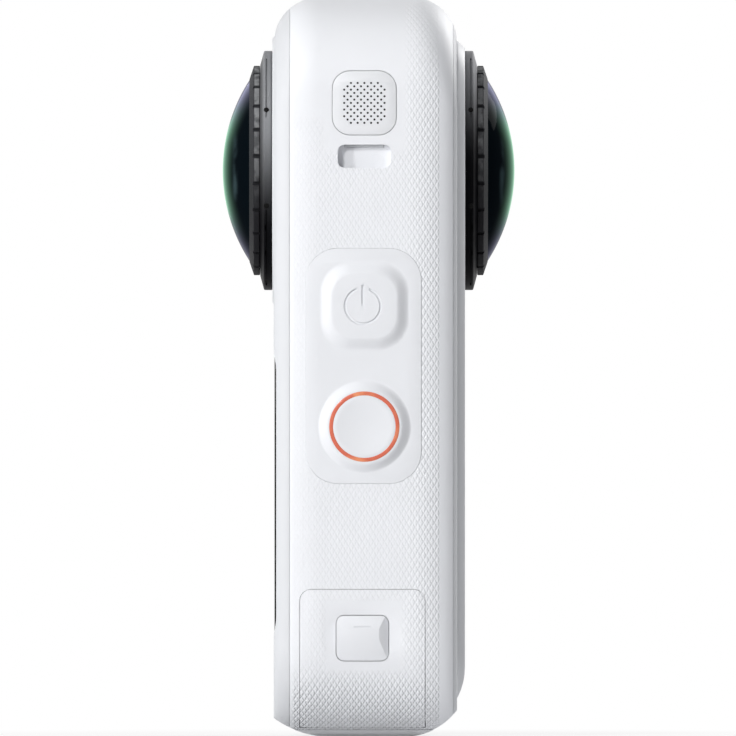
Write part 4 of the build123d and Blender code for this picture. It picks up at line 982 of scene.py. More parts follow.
@dataclass
class Housing:
    """The body's shells, cut from one blank form: middle frame, two covers and base plate.

    Attributes:
        width: width of the body.
        height: height of the body.
        rear_y: depth of the display's face.
        front_y: depth of the front face.
        outline_r: radius of the outline's corners.
        fall_top: how far the rounded edges fall at the top.
        fall_side: how far they fall at each side.
        rear_seam: depth of the seam with the display cover.
        front_seam: depth of the seam with the lens cover.
        wall: thickness of the frame's wall.
        cavity_top: top of the inner space.
        cavity_floor: floor of the inner space.
        base_thickness: thickness of the base plate.
        base_lip: how much wider the base plate is than the frame over it.
        middle_y: middle of the side's pieces.
        seam_bevel: rounding of the frame along its seams.
        seam_gap: gap between a cover and its seam.
        corner_steps: steps of each corner.
        round_steps: steps of the rounded edges.
        far: a distance outside the body, for cutters.
    """

    width: float = 46.0
    height: float = 96.0
    rear_y: float = -12.28
    front_y: float = 11.47
    outline_r: float = 12.1
    fall_top: float = 5.84
    fall_side: float = 2.4
    rear_seam: float = -10.2
    front_seam: float = 11.0
    wall: float = 2.4
    cavity_top: float = 91.0
    cavity_floor: float = 4.4
    base_thickness: float = 0.95
    base_lip: float = 1.012
    middle_y: float = MIDDLE_Y
    seam_bevel: float = 0.09
    seam_gap: float = 0.02
    corner_steps: int = 20
    round_steps: int = 12
    far: float = 60.0

    def blank(self) -> bpy.types.Object:
        """The closed outer form, without the raised plate, its foot already curved."""
        sections = self.sections()
        Bench.free()
        bpy.ops.mesh.primitive_plane_add(size=1, location=(0, 0, 0), rotation=(math.pi / 2, 0, 0))
        obj = bpy.context.object
        obj.name = "blank"
        obj.scale = (self.width, self.height, 1)
        obj.location = (0, sections[0][0], self.height / 2)
        bpy.ops.object.transform_apply(location=True, rotation=True, scale=True)
        Bench.edit(obj)
        bpy.ops.mesh.select_all(action="SELECT")
        bpy.ops.mesh.bevel(offset=self.outline_r, segments=self.corner_steps, affect="VERTICES")
        bpy.ops.mesh.select_all(action="SELECT")
        previous = (1.0, 1.0)
        for index, (y, side, top) in enumerate(sections):
            if index:
                move = (0, y - sections[index - 1][0], 0)
                bpy.ops.mesh.extrude_region_move(TRANSFORM_OT_translate={"value": move})
            ratio = (side / previous[0], 1, top / previous[1])
            bpy.ops.transform.resize(value=ratio, center_override=(0, y, 0))
            previous = (side, top)
        bpy.ops.mesh.select_all(action="SELECT")
        bpy.ops.mesh.normals_make_consistent(inside=False)
        Bench.free()
        return Bench.cut(obj, self.under_foot())

    def sections(self) -> list[tuple[float, float, float]]:
        """Depth, width share and height share of each section, from the rear face to the front one."""
        half = []
        for step in range(self.round_steps + 1):
            angle = math.pi / 2 * step / self.round_steps
            fall = 1 - math.cos(angle)
            side = 1 - 2 * self.fall_side * fall / self.width
            half.append((math.sin(angle), side, 1 - self.fall_top * fall / self.height))
        start = self.rear_y + self.fall_top
        end = self.front_y - self.fall_top
        rear = [(start - self.fall_top * s, a, b) for s, a, b in reversed(half)]
        front = [(end + self.fall_top * s, a, b) for s, a, b in half]
        return rear + front

    def under_foot(self) -> bpy.types.Object:
        """What lies under the curved foot, as a bar along X."""
        points = [(-self.far, -self.far), (-self.far, 3.2), (-12.6, 3.2)]
        for flat_y, radius, edge in ((-4.6, 13.0, -12.6), (4.3, 9.0, 12.6)):
            arc = []
            for step in range(13):
                y = flat_y + (edge - flat_y) * step / 12
                arc.append((y, radius - math.sqrt(radius**2 - (y - flat_y) ** 2)))
            points += arc if flat_y > 0 else list(reversed(arc))
        points += [(self.far, points[-1][1]), (self.far, -self.far)]
        points = [p for i, p in enumerate(points) if i == 0 or p != points[i - 1]]
        return Bench.extruded("under_foot", Axis.X, points, -self.far, self.far)

    def seam_edge(self, y: float) -> Callable[[object], bool]:
        """Tests whether an edge lies on the seam plane at y and on the outside."""
        return lambda e: all(abs(v.co.y - y) < 1e-3 for v in e.verts) and len(e.link_faces) == 2

    def cavity(self, low_y: float, high_y: float, inset: float = 0.0) -> bpy.types.Object:
        """The frame's inner space between two depths."""
        size = (self.width - 2 * self.wall - 2 * inset, self.cavity_top - self.cavity_floor - 2 * inset)
        middle = (0, (self.cavity_top + self.cavity_floor) / 2)
        radius = self.outline_r - self.wall - inset
        return Bench.prism("cavity", Axis.Y, middle, size, radius, (low_y, high_y), 16)

    def core(self, skin: float) -> bpy.types.Object:
        """A bar along Y that follows the outline, inset all round by skin."""
        size = (self.width - 2 * skin, self.height - 2 * skin)
        return Bench.prism(
            "core", Axis.Y, (0, self.height / 2), size, self.outline_r - skin, (-self.far, self.far), 20
        )

    def build(self, blank: bpy.types.Object) -> None:
        """Makes the four shells."""
        self.build_frame(Bench.copy(blank, "frame_shell"))
        self.build_display_cover(Bench.copy(blank, "display_cover_shell"))
        self.build_lens_cover(Bench.copy(blank, "lens_cover_shell"))
        self.build_base(Bench.copy(blank, "base_plate_shell"))

    def build_frame(self, shell: bpy.types.Object) -> None:
        """The textured middle frame with all its openings."""
        Bench.halve(shell, (0, self.rear_seam, 0), (0, 1, 0))
        Bench.halve(shell, (0, self.front_seam, 0), (0, -1, 0))
        Bench.halve(shell, (0, 0, self.base_thickness), (0, 0, 1))
        for seam in (self.rear_seam, self.front_seam):
            Bench.bevel(shell, self.seam_edge(seam), self.seam_bevel, 2)
        half = self.width / 2
        grille, battery = (self.middle_y, GRILLE_Z), (self.middle_y, BATTERY_Z)
        Bench.cut(shell, self.cavity(self.rear_seam - 5, self.front_seam + 5))
        Bench.cut(
            shell,
            Bench.prism("pad", Axis.X, PAD_MIDDLE, (15.03, 30.53), 4.22, (half - 1.2, self.far), 12),
            Bench.prism("grille", Axis.X, grille, (8.4, 8.4), 2.36, (half - 1.2, self.far), 12),
            Bench.prism("slot", Axis.X, (self.middle_y, SLOT_Z), (6.9, 3.0), 0.9, (half - 3, self.far), 10),
            Bench.prism("door", Axis.X, (DOOR_Y, 7.15), (16.34, 24.26), 1.6, (16.18, self.far), 8),
            Bench.cylinder("hinge", Axis.Y, DOOR_HINGE, 1.5, 16.4, 48),
            Bench.prism("battery", Axis.X, battery, (16.4, 47.8), 3.7, (-self.far, 1.5 - half), 10),
            Bench.prism("bay", Axis.X, battery, (13.0, 44.4), 1.2, (-self.far, -15), 8),
        )
        for z in (POWER_Z, SHUTTER_Z):
            Bench.cut(shell, Bench.cylinder("stem", Axis.X, (half - 2, self.middle_y, z), 2.35, 5, 48))
        Bench.cut(shell, Bench.block("bush", (-4.6, -4.6, -1), (4.6, 4.6, 0.9)))
        finish(shell, KNURLED, Body.HOUSING, ["mid_frame"], "shell_white")

    def build_display_cover(self, shell: bpy.types.Object) -> None:
        """The smooth rear cover with its round pedestal and the display's recess."""
        Bench.halve(shell, (0, self.rear_seam - self.seam_gap, 0), (0, -1, 0))
        Bench.bevel(shell, self.seam_edge(self.rear_seam - self.seam_gap), 0.06, 2)
        profile = [(0, -11.2), (17.5, -11.2), (17.5, -12.28), (17.15, -12.5), (0, -12.5)]
        pedestal = Bench.turned("pedestal", Axis.Y, (0, 0, LENS_Z), profile, False)
        Bench.combine(shell, pedestal, "UNION")
        Bench.cut(
            shell,
            Bench.cylinder("lens_hole", Axis.Y, (0, -12, LENS_Z), LENS_HOLE_R, 10, 96),
            Bench.prism("glass_seat", Axis.Y, DISPLAY_MIDDLE, (42.72, 41.32), 4.66, (-self.far, -11.39), 14),
            Bench.prism("window", Axis.Y, DISPLAY_MIDDLE, (36.8, 35.4), 3.15, (-self.far, self.far), 10),
        )
        finish(shell, REAR_WHITE, Body.HOUSING, ["display_cover"], "cover_white")

    def build_lens_cover(self, shell: bpy.types.Object) -> None:
        """The smooth front cover with its raised plate."""
        Bench.halve(shell, (0, self.front_seam + self.seam_gap, 0), (0, 1, 0))
        Bench.bevel(shell, self.seam_edge(self.front_seam + self.seam_gap), 0.06, 2)
        plate = Bench.prism("plate", Axis.Y, (0, 47.2), (40.8, 86.4), 9.4, (11.0, 12.5), 18)
        Bench.bevel(plate, Bench.level(1, 12.5), 1.0, 1)
        Bench.bevel(
            plate, lambda e: min(v.co.y for v in e.verts) > 11.3 and e.calc_face_angle(0) > 0.5, 0.22, 3
        )
        angles = [-math.radians(85) + math.radians(85) * i / 14 for i in range(15)]
        edge = [(12.5 - 9.0 + 9.0 * math.cos(a), 9.2 + 9.0 * math.sin(a)) for a in angles]
        outside = [(3.0, -20.0)] + edge + [(12.5, 120.0), (60.0, 120.0), (60.0, -20.0)]
        Bench.cut(plate, Bench.extruded("plate_foot", Axis.X, outside, -self.far, self.far))
        Bench.cut(plate, self.under_foot())
        Bench.combine(shell, plate, "UNION")
        Bench.cut(shell, Bench.cylinder("lens_hole", Axis.Y, (0, 12, LENS_Z), LENS_HOLE_R, 10, 96))
        finish(shell, COVER_WHITE, Body.HOUSING, ["lens_cover"], "cover_white")

    def build_base(self, shell: bpy.types.Object) -> None:
        """The base plate under the frame."""
        Bench.halve(shell, (0, 0, self.base_thickness), (0, 0, -1))
        Bench.edit(shell)
        bpy.ops.mesh.select_all(action="SELECT")
        bpy.ops.transform.resize(value=(self.base_lip, self.base_lip, 1), center_override=(0, 0, 0))
        Bench.free()
        Bench.bevel(shell, Bench.level(2, self.base_thickness), 0.16, 3)
        Bench.free()
        bpy.ops.mesh.primitive_cylinder_add(vertices=96, radius=4.6, depth=4, location=(0, 0, 0))
        Bench.cut(shell, bpy.context.object)
        for x in (-8.6, 8.6):
            for y in (-2.8, 2.8):
                bpy.ops.mesh.primitive_cone_add(
                    vertices=48, radius1=1.4 + 0.1, radius2=0.8, depth=1.0, location=(x, y, 0.4)
                )
                Bench.cut(shell, bpy.context.object)
        finish(shell, BASE_GREY, Body.HOUSING, ["base_plate"], "base_grey")


@dataclass
class Lens:
    """One fisheye lens: bezel, twist-off guard ring with its dome, and what shows through it.

    Attributes:
        name: front or rear.
        body: the guard's body.
        seat: depth of the face that the bezel sits on.
        bezel_r: radius of the bezel.
        dome_r: radius of the dome at its rim.
        apex: depth of the dome's tip.
        top: depth of the dome's rim.
        notches: how many notches the guard has.
        grooves: first and last angle of each groove in the bezel, in degrees from +X towards +Z.
        dots: angle of the upper and the lower index dot.
    """

    name: str
    body: Body
    seat: float
    bezel_r: float = 15.57
    dome_r: float = 11.8
    apex: float = 19.0
    top: float = 15.5
    notches: int = 24
    grooves: tuple[Point, ...] = ((-74.0, -19.5), (26.0, 69.0))
    dots: tuple[float, ...] = (30.0, -17.5)

    def place(self, obj: bpy.types.Object) -> bpy.types.Object:
        """Turns a piece made for the front over to the rear, if this lens is there."""
        return Bench.mirrored(obj) if self.name == "rear" else obj

    def ring(self, label: str, profile: Sequence[Point]) -> bpy.types.Object:
        """A ring about the lens axis from (radius, depth) points."""
        return Bench.turned(f"{self.name}_{label}", Axis.Y, (0, 0, LENS_Z), profile, True, 144)

    def cap(
        self, label: str, radius: float, edge: float, apex: float, inner: float, steps: int = 20
    ) -> bpy.types.Object:
        """A dome with a spherical outside and a parallel inside.

        Args:
            label: the piece's name after the lens's.
            radius: the dome's radius about the axis.
            edge: depth of its rim.
            apex: depth of its tip.
            inner: thickness of the glass.
            steps: how many steps each arc has.

        Returns:
            The dome.
        """
        sag = apex - edge
        sphere = (radius**2 + sag**2) / (2 * sag)
        centre = apex - sphere
        profile = []
        reach = math.asin(radius / sphere)
        for step in range(steps + 1):
            angle = reach * step / steps
            profile.append((sphere * math.sin(angle), centre + sphere * math.cos(angle)))
        small = sphere - inner
        inner_r = radius - 0.8
        for step in range(steps + 1):
            angle = math.asin(inner_r / small) * (1 - step / steps)
            profile.append((small * math.sin(angle), centre + small * math.cos(angle)))
        profile.insert(steps + 1, (radius, edge - 1.05))
        profile.insert(steps + 2, (inner_r, edge - 1.05))
        return Bench.turned(f"{self.name}_{label}", Axis.Y, (0, 0, LENS_Z), profile, False, 128)

    def build(self) -> None:
        """Makes the lens."""
        bezel = self.ring(
            "bezel",
            [
                (12.75, 10.4), (13.2, 10.4), (13.2, self.seat), (15.45, self.seat), (15.57, self.seat + 0.12),
                (15.57, 13.5), (15.48, 13.62), (13.82, 14.07), (13.7, 14.1), (12.85, 14.1), (12.75, 14.0),
            ],
        )
        for low, high in self.grooves:
            section = [(15.35, 13.19), (15.35, 13.37), (15.8, 13.37), (15.8, 13.19)]
            groove = Bench.turned("groove", Axis.Y, (0, 0, LENS_Z), section, True, 120)
            limit = math.radians(low), math.radians(high)
            self.sector(groove, *limit)
            Bench.cut(bezel, groove)
        finish(self.place(bezel), BEZELS[self.name], Body.HOUSING, [f"{self.name}_lens_bezel"], "lens_grey")
        self.build_dots()
        self.build_guard()
        dome = self.cap("dome", self.dome_r, self.top, self.apex, 1.3)
        finish(self.place(dome), DOME, self.body, [f"{self.name}_guard_dome"], "dome_glass")
        element = self.cap("element", 9.9, 13.8, 17.2, 1.6, 16)
        finish(self.place(element), INNER_LENS, Body.HOUSING, [f"{self.name}_lens_element"], "inner_glass")
        barrel = self.ring(
            "barrel",
            [(10.7, 8.5), (10.7, 13.9), (10.55, 14.0), (9.95, 14.0), (9.95, 12.8), (8.6, 12.8), (8.3, 12.2),
             (7.4, 12.2), (7.1, 11.4), (6.0, 11.4), (5.6, 10.6), (0.4, 10.0), (0.4, 8.5)],
        )
        finish(self.place(barrel), BARREL_BLACK, Body.HOUSING, [f"{self.name}_lens_barrel"], "barrel_black")

    def sector(self, obj: bpy.types.Object, low: float, high: float) -> None:
        """Keeps the part of a ring between two angles, counted from +X towards +Z."""
        centre = Vector((0, 0, LENS_Z))
        Bench.halve(obj, tuple(centre), (-math.sin(low), 0, math.cos(low)))
        Bench.halve(obj, tuple(centre), (math.sin(high), 0, -math.cos(high)))

    def build_dots(self) -> None:
        """The black index dots on the bezel: an upper and a lower one on each side."""
        first = Bench.cylinder("dot", Axis.X, (self.bezel_r, 13.27, 0), 0.34, 0.12, 32)
        Bench.bevel(first, lambda e: abs(e.verts[0].co.x - e.verts[1].co.x) < 1e-5, 0.03, 2)
        for level, angle in zip(("upper", "lower"), self.dots):
            for side, turn in (("right", angle), ("left", 180.0 - angle)):
                dot = Bench.copy(first, f"{self.name}_index_dot_{level}_{side}")
                spin = Matrix.Rotation(-math.radians(turn), 4, "Y")
                dot.data.transform(Matrix.Translation((0, 0, LENS_Z)) @ spin)
                finish(self.place(dot), DOT_BLACK, Body.HOUSING, (), "seal_dark")
        bpy.data.objects.remove(first, do_unlink=True)

    def build_guard(self) -> None:
        """The castellated guard ring."""
        guard = self.ring(
            "guard_castle",
            [
                (11.0, 12.4), (12.67, 12.4), (12.67, 14.14), (13.55, 14.14), (13.63, 14.22), (13.63, 14.84),
                (13.58, 14.93), (11.98, 15.47), (11.86, 15.5), (11.8, 15.46), (11.8, 14.4), (11.0, 14.4),
            ],
        )
        first = Bench.block("notch", (13.25, 14.1, -0.24), (14.2, 15.6, 0.24))
        cutters = []
        for index in range(self.notches):
            angle = 2 * math.pi * (index + 0.5) / self.notches
            cutter = Bench.copy(first, "notch")
            cutter.data.transform(Matrix.Translation((0, 0, LENS_Z)) @ Matrix.Rotation(angle, 4, "Y"))
            cutters.append(cutter)
        bpy.data.objects.remove(first, do_unlink=True)
        Bench.cut(guard, Bench.join(cutters))
        finish(self.place(guard), GUARD, self.body, [f"{self.name}_guard_ring"], "guard_grey")


@dataclass
class Keys:
    """The soft pad and its two raised keys.

    Attributes:
        face: distance of the pad's face from the middle.
        middle_y: middle of the keys.
        power_z: height of the power key.
        shutter_z: height of the shutter key.
        power_rise: how far the power key stands out.
        shutter_rise: how far the shutter key stands out.
        symbol_r: radius of the power symbol.
        stroke: width of its strokes.
        engraving: how deep they are.
        steps: steps of each swelling flank.
    """

    face: float = SIDE_X
    middle_y: float = MIDDLE_Y
    power_z: float = POWER_Z
    shutter_z: float = SHUTTER_Z
    power_rise: float = 0.74
    shutter_rise: float = 0.82
    symbol_r: float = 2.3
    stroke: float = 0.36
    engraving: float = 0.16
    steps: int = 14

    def swell(self, share: float) -> float:
        """A smooth rise from 0 to 1, level at both ends."""
        return share * share * (3 - 2 * share)

    def build(self) -> None:
        """Makes the pad, the keys, the symbol and the ring."""
        pad = Bench.prism("key_pad", Axis.X, PAD_MIDDLE, (15.0, 30.5), 4.2, (self.face - 1.2, self.face), 14)
        Bench.bevel(pad, Bench.level(0, self.face), 0.09, 3)
        Bench.cut(
            pad,
            Bench.prism("power_hole", Axis.X, (self.middle_y, self.power_z), (11.6, 11.6), 4.0, (10, 40), 14),
            Bench.cylinder("shutter_hole", Axis.X, (self.face, self.middle_y, self.shutter_z), 6.0, 10, 96),
        )
        finish(pad, PAD_WHITE, Body.HOUSING, ["button_pad"], "pad_white")
        self.build_power()
        self.build_shutter()

    def build_power(self) -> None:
        """The rounded square power key, rising from the pad's face."""
        middle = (self.middle_y, self.power_z)
        key = Bench.prism("power_dome", Axis.X, middle, (11.6, 11.6), 4.0, (self.face - 0.7, self.face), 14)
        Bench.edit(key)
        Bench.choose(key, "faces", lambda f: f.normal.x > 0.99)
        centre = (self.face, self.middle_y, self.power_z)
        before = 1.0
        for step in range(1, self.steps + 1):
            share = step / self.steps
            scale = 1 - 0.30 * share
            rise = self.power_rise * (self.swell(share) - self.swell((step - 1) / self.steps))
            bpy.ops.mesh.extrude_region_move(TRANSFORM_OT_translate={"value": (rise, 0, 0)})
            ratio = scale / before
            bpy.ops.transform.resize(value=(1, ratio, ratio), center_override=centre)
            before = scale
        Bench.free()
        Bench.cut(key, self.power_symbol(self.face + self.power_rise))
        finish(key, PAD_WHITE, None, ["power_key"], "pad_white", 50)
        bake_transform(key)

    def power_symbol(self, top: float) -> bpy.types.Object:
        """The sunken strokes of the power symbol, as a cutter: a ring broken at the top, and a bar."""
        inner, outer = self.symbol_r - self.stroke / 2, self.symbol_r + self.stroke / 2
        low, high = -self.engraving, self.engraving
        band = [(inner, high), (outer, high), (outer - 0.03, low), (inner + 0.03, low)]
        y, z = self.middle_y - 0.2, self.power_z
        ring = Bench.turned("symbol_ring", Axis.X, (top, y, z), band, True, 96)
        Bench.cut(ring, Bench.block("gap", (top - 1, y - 0.8, z), (top + 1, y + 0.8, z + 4)))
        half = self.stroke / 2
        bar = Bench.block("bar", (top + low, y - half, z + 0.05), (top + high, y + half, z + 2.75))
        return Bench.join([ring, bar])

    def build_shutter(self) -> None:
        """The round shutter key with its orange ring."""
        centre = (self.face, self.middle_y, self.shutter_z)
        profile = [(0.0, -0.7), (6.0, -0.7)]
        for step in range(self.steps + 1):
            share = step / self.steps
            profile.append((6.0 - 1.4 * share, self.shutter_rise * 0.9 * self.swell(share) ** 0.85))
        rise = self.shutter_rise
        seat = ((4.56, 0.9), (4.56, 0.7), (4.04, 0.7), (4.04, 0.95), (3.9, 1.0))
        profile += [(radius, rise * share) for radius, share in seat]
        for step in range(1, 9):
            share = step / 8
            profile.append((3.9 * (1 - share), rise - 0.25 * (1 - (1 - share) ** 2)))
        key = Bench.turned("shutter_dome", Axis.X, centre, profile, False, 96)
        finish(key, PAD_WHITE, None, ["shutter_key"], "pad_white", 50)
        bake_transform(key)
        crown = ((4.05, 0.94), (4.12, 0.975), (4.48, 0.955), (4.55, 0.91))
        band = [(4.05, 0.6)] + [(radius, rise * share) for radius, share in crown] + [(4.55, 0.6)]
        ring = Bench.turned("orange_ring", Axis.X, centre, band, True, 96)
        finish(ring, ORANGE, Body.SHUTTER, ["shutter_ring"], "ring_orange")


@dataclass
class Sound:
    """The perforated microphone plate, and the pale mesh at the top of the sound slot.

    Attributes:
        middle_y: middle of the plate and the slot.
        grille_z: height of the plate's middle.
        size: width and height of the plate.
        hole_r: radius of a hole.
        pitch_y: distance between the holes of a row.
        pitch_z: distance between rows.
        rows: how many holes each row has, from the foot up.
    """

    middle_y: float = MIDDLE_Y
    grille_z: float = GRILLE_Z
    size: float = 8.28
    hole_r: float = 0.145
    pitch_y: float = 0.87
    pitch_z: float = 0.43
    rows: tuple[int, ...] = (5, 6, 7, 6, 7, 6, 7, 6, 7, 6, 7, 6, 5)

    def build(self, blank: bpy.types.Object) -> None:
        """Makes the plate."""
        plate = Bench.copy(blank, "mic_plate")
        middle, size = (self.middle_y, self.grille_z), (self.size, self.size)
        Bench.combine(plate, Bench.prism("keep", Axis.X, middle, size, 2.3, (21.8, 60), 12), "INTERSECT")
        Bench.bevel(plate, lambda e: Bench.sharp(e) and min(v.co.x for v in e.verts) > 22.5, 0.08, 2)
        holes = []
        first = Bench.cylinder("hole", Axis.X, (22.5, 0, 0), self.hole_r, 3, 12)
        for row, count in enumerate(self.rows):
            z = self.grille_z + (row - (len(self.rows) - 1) / 2) * self.pitch_z
            for column in range(count):
                y = self.middle_y + (column - (count - 1) / 2) * self.pitch_y
                hole = Bench.copy(first, "hole")
                hole.data.transform(Matrix.Translation((0, y, z)))
                holes.append(hole)
        bpy.data.objects.remove(first, do_unlink=True)
        Bench.cut(plate, Bench.join(holes))
        finish(plate, GRILLE_WHITE, Body.HOUSING, ["mic_grille"], "grille_white")
        (y, z), half = middle, 3.2
        mesh = Bench.block("mic_mesh", (21.82, y - half, z - half), (22.0, y + half, z + half))
        Bench.bevel(mesh, lambda e: True, 0.05, 1)
        finish(mesh, INNER_GREY, Body.HOUSING, (), "seal_dark")
        self.build_slit_mesh()

    def build_slit_mesh(self) -> None:
        """The pale woven strip that closes the sound slit at the top of the slot."""
        half = 2.52
        low, high = (20.9, self.middle_y - half, 76.37), (21.6, self.middle_y + half, 76.83)
        strip = Bench.block("slit_mesh", low, high)
        Bench.bevel(strip, lambda e: max(v.co.x for v in e.verts) > 21.5, 0.08, 3)
        finish(strip, MESH_WHITE, Body.HOUSING, (), "pad_white")


@dataclass
class Door:
    """The side door with its dish and its faceted latch.

    Attributes:
        middle_y: middle of the door.
        face: distance of its face from the middle of the body.
    """

    middle_y: float = DOOR_Y
    face: float = SIDE_X

    def build(self, blank: bpy.types.Object, housing: Housing) -> None:
        """Makes the door and its latch."""
        door = Bench.copy(blank, "door_panel")
        keep = Bench.prism("keep", Axis.X, (self.middle_y, 7.1), (16.22, 24.24), 1.5, (16.3, 60), 10)
        Bench.combine(door, keep, "INTERSECT")
        Bench.cut(door, housing.core(1.3))
        Bench.bevel(door, self.on_outline, 0.12, 3)
        Bench.free()
        place = (self.face + 0.75, self.middle_y, 12.95)
        bpy.ops.mesh.primitive_uv_sphere_add(
            segments=96, ring_count=48, radius=1, location=place, scale=(1.0, 8.0, 6.65)
        )
        dish = bpy.context.object
        bpy.ops.object.transform_apply(location=True, rotation=True, scale=True)
        window = Bench.prism("window", Axis.X, LATCH_MIDDLE, (6.93, 6.03), 1.14, (20.4, 60), 8)
        rim = Bench.prism("rim", Axis.X, WELL_MIDDLE, (12.0, 11.5), 1.3, (20.2, 21.9), 8)
        well = Bench.prism("well", Axis.X, WELL_MIDDLE, (9.6, 9.1), 0.8, (19.0, 21.68), 8)
        wall = Bench.prism("wall", Axis.X, LATCH_MIDDLE, (9.05, 8.15), 1.5, (20.2, 21.75), 8)
        Bench.combine(well, wall, "DIFFERENCE")
        Bench.cut(rim, well)
        core = housing.core(0.65)
        Bench.combine(rim, core, "INTERSECT")
        Bench.combine(door, rim, "UNION")
        Bench.cut(door, dish, window)
        knuckle = Bench.cylinder("knuckle", Axis.Y, DOOR_HINGE, 1.25, 16.2, 48)
        Bench.combine(door, knuckle, "UNION")
        Bench.cut(door, Bench.cylinder("pin_hole", Axis.Y, DOOR_HINGE, 0.54, 30, 32))
        finish(door, KNURLED_DOOR, Body.DOOR, ["side_door"], "shell_white")
        self.build_latch()

    def on_outline(self, edge: bmesh.types.BMEdge) -> bool:
        """Tests whether an edge lies on the outside of the door's outline."""
        first, second = (vert.co for vert in edge.verts)
        near_side = abs(abs(first.y - self.middle_y) - 8.1) < 1.6
        near_top = min(first.z, second.z) > 17.5
        off_corner = min(self.off_corner(first), self.off_corner(second))
        outside = min(first.x, second.x) > 17.0 and off_corner > 12.0
        return Bench.sharp(edge) and outside and (near_side or near_top)

    def off_corner(self, place: Vector) -> float:
        """How far a point lies from the lower corner's centre line, or from the line above it."""
        if place.z < CORNER_Z:
            return Vector((place.x - CORNER_X, place.z - CORNER_Z)).length
        return place.x - CORNER_X

    def build_latch(self) -> None:
        """The latch: a wedge with a crest, a short dash on it."""
        low, high, crest = 10.05, 15.8, 14.0
        latch = Bench.prism("latch_wedge", Axis.X, LATCH_MIDDLE, (6.75, 5.85), 1.0, (21.6, 23.32), 8)
        face = self.face
        under = [(-0.3, low - 1), (-0.3, low), (0.3, 12.75), (0.3, 17.0), (3.0, 17.0), (3.0, low - 1)]
        over = [(0.34, crest), (-0.15, high + 0.05), (-0.15, 20.0), (3.0, 20.0), (3.0, crest)]
        lower = Bench.extruded("lower", Axis.Y, [(face + x, z) for x, z in under], -20, 20)
        upper = Bench.extruded("upper", Axis.Y, [(face + x, z) for x, z in over], -20, 20)
        Bench.cut(latch, lower, upper)
        side = Bench.block("side", (face - 0.1, 0, 9.0), (face + 2, 8, 17))
        Bench.edit(side)
        Bench.choose(side, "verts", lambda v: v.co.y < 0.1 and v.co.x < face + 1)
        bpy.ops.transform.translate(value=(0.45, 1.25, 0))
        Bench.choose(side, "verts", lambda v: v.co.y > 7 and v.co.x < face + 1)
        bpy.ops.transform.translate(value=(-3.13, 0, 0))
        Bench.free()
        Bench.cut(latch, side)
        Bench.bevel(
            latch, lambda e: e.calc_face_angle(0) > 0.35 and min(v.co.x for v in e.verts) > 22.0, 0.16, 3
        )
        span = (face + 0.12, face + 1)
        dash = Bench.prism("dash", Axis.X, (self.middle_y, 14.35), (2.2, 0.24), 0.1, span, 4)
        Bench.cut(latch, dash)
        finish(latch, PAD_WHITE, Body.DOOR_LATCH, ["door_latch"], "shell_white", 40)


@dataclass
class Display:
    """The display's glass.

    Attributes:
        half: half the width of the glass.
        low_z: foot of the glass.
        high_z: top of the glass.
    """

    half: float = 21.3
    low_z: float = 11.0
    high_z: float = 52.2

    def build(self) -> None:
        """Makes the glass."""
        middle = (self.low_z + self.high_z) / 2
        size = (2 * self.half, self.high_z - self.low_z)
        glass = Bench.prism("screen_glass", Axis.Y, (0, middle), size, 4.6, (-12.19, -11.39), 16)
        Bench.bevel(glass, Bench.level(1, -12.19), 0.3, 5)
        look = Screen("screen_glass", self.half - 1.9, self.low_z + 2.2, self.high_z - 2.2)
        finish(glass, look, Body.HOUSING, ["display_glass"], "display_black")


@dataclass
class Battery:
    """The battery module's cover and its two thumb sliders.

    Attributes:
        middle_y: middle of the cover.
    """

    middle_y: float = MIDDLE_Y

    def build(self, blank: bpy.types.Object, housing: Housing) -> None:
        """Makes the cover and the sliders."""
        cover = Bench.copy(blank, "battery_panel")
        keep = Bench.prism("keep", Axis.X, (self.middle_y, BATTERY_Z), (16.2, 47.6), 3.6, (-60, -20.6), 12)
        Bench.combine(cover, keep, "INTERSECT")
        Bench.cut(cover, housing.core(1.4))
        Bench.bevel(cover, lambda e: Bench.sharp(e) and max(v.co.x for v in e.verts) < -22.4, 0.12, 3)
        for z in (50.9, 15.5):
            pocket = Bench.prism("pocket", Axis.X, (self.middle_y, z), (7.2, 5.4), 0.9, (-60, -22.04), 8)
            Bench.cut(cover, pocket)
        finish(cover, KNURLED, Body.BATTERY, ["battery_cover"], "shell_white")
        for name, z, body in (("upper", 51.6, Body.BATTERY_UPPER), ("lower", 14.8, Body.BATTERY_LOWER)):
            middle, span = (self.middle_y, z), (-SIDE_X, -22.1)
            slider = Bench.prism(f"thumb_slider_{name}", Axis.X, middle, (7.0, 4.0), 0.8, span, 8)
            Bench.bevel(slider, Bench.level(0, -SIDE_X), 0.12, 3)
            for offset in (-0.9, 0.0, 0.9):
                low = (-23.3, self.middle_y - 2.7, z + offset - 0.2)
                high = (-22.8, self.middle_y + 2.7, z + offset + 0.2)
                Bench.cut(slider, Bench.block("rib", low, high))
            finish(slider, PAD_WHITE, body, [f"battery_latch_{name}"], "pad_white")


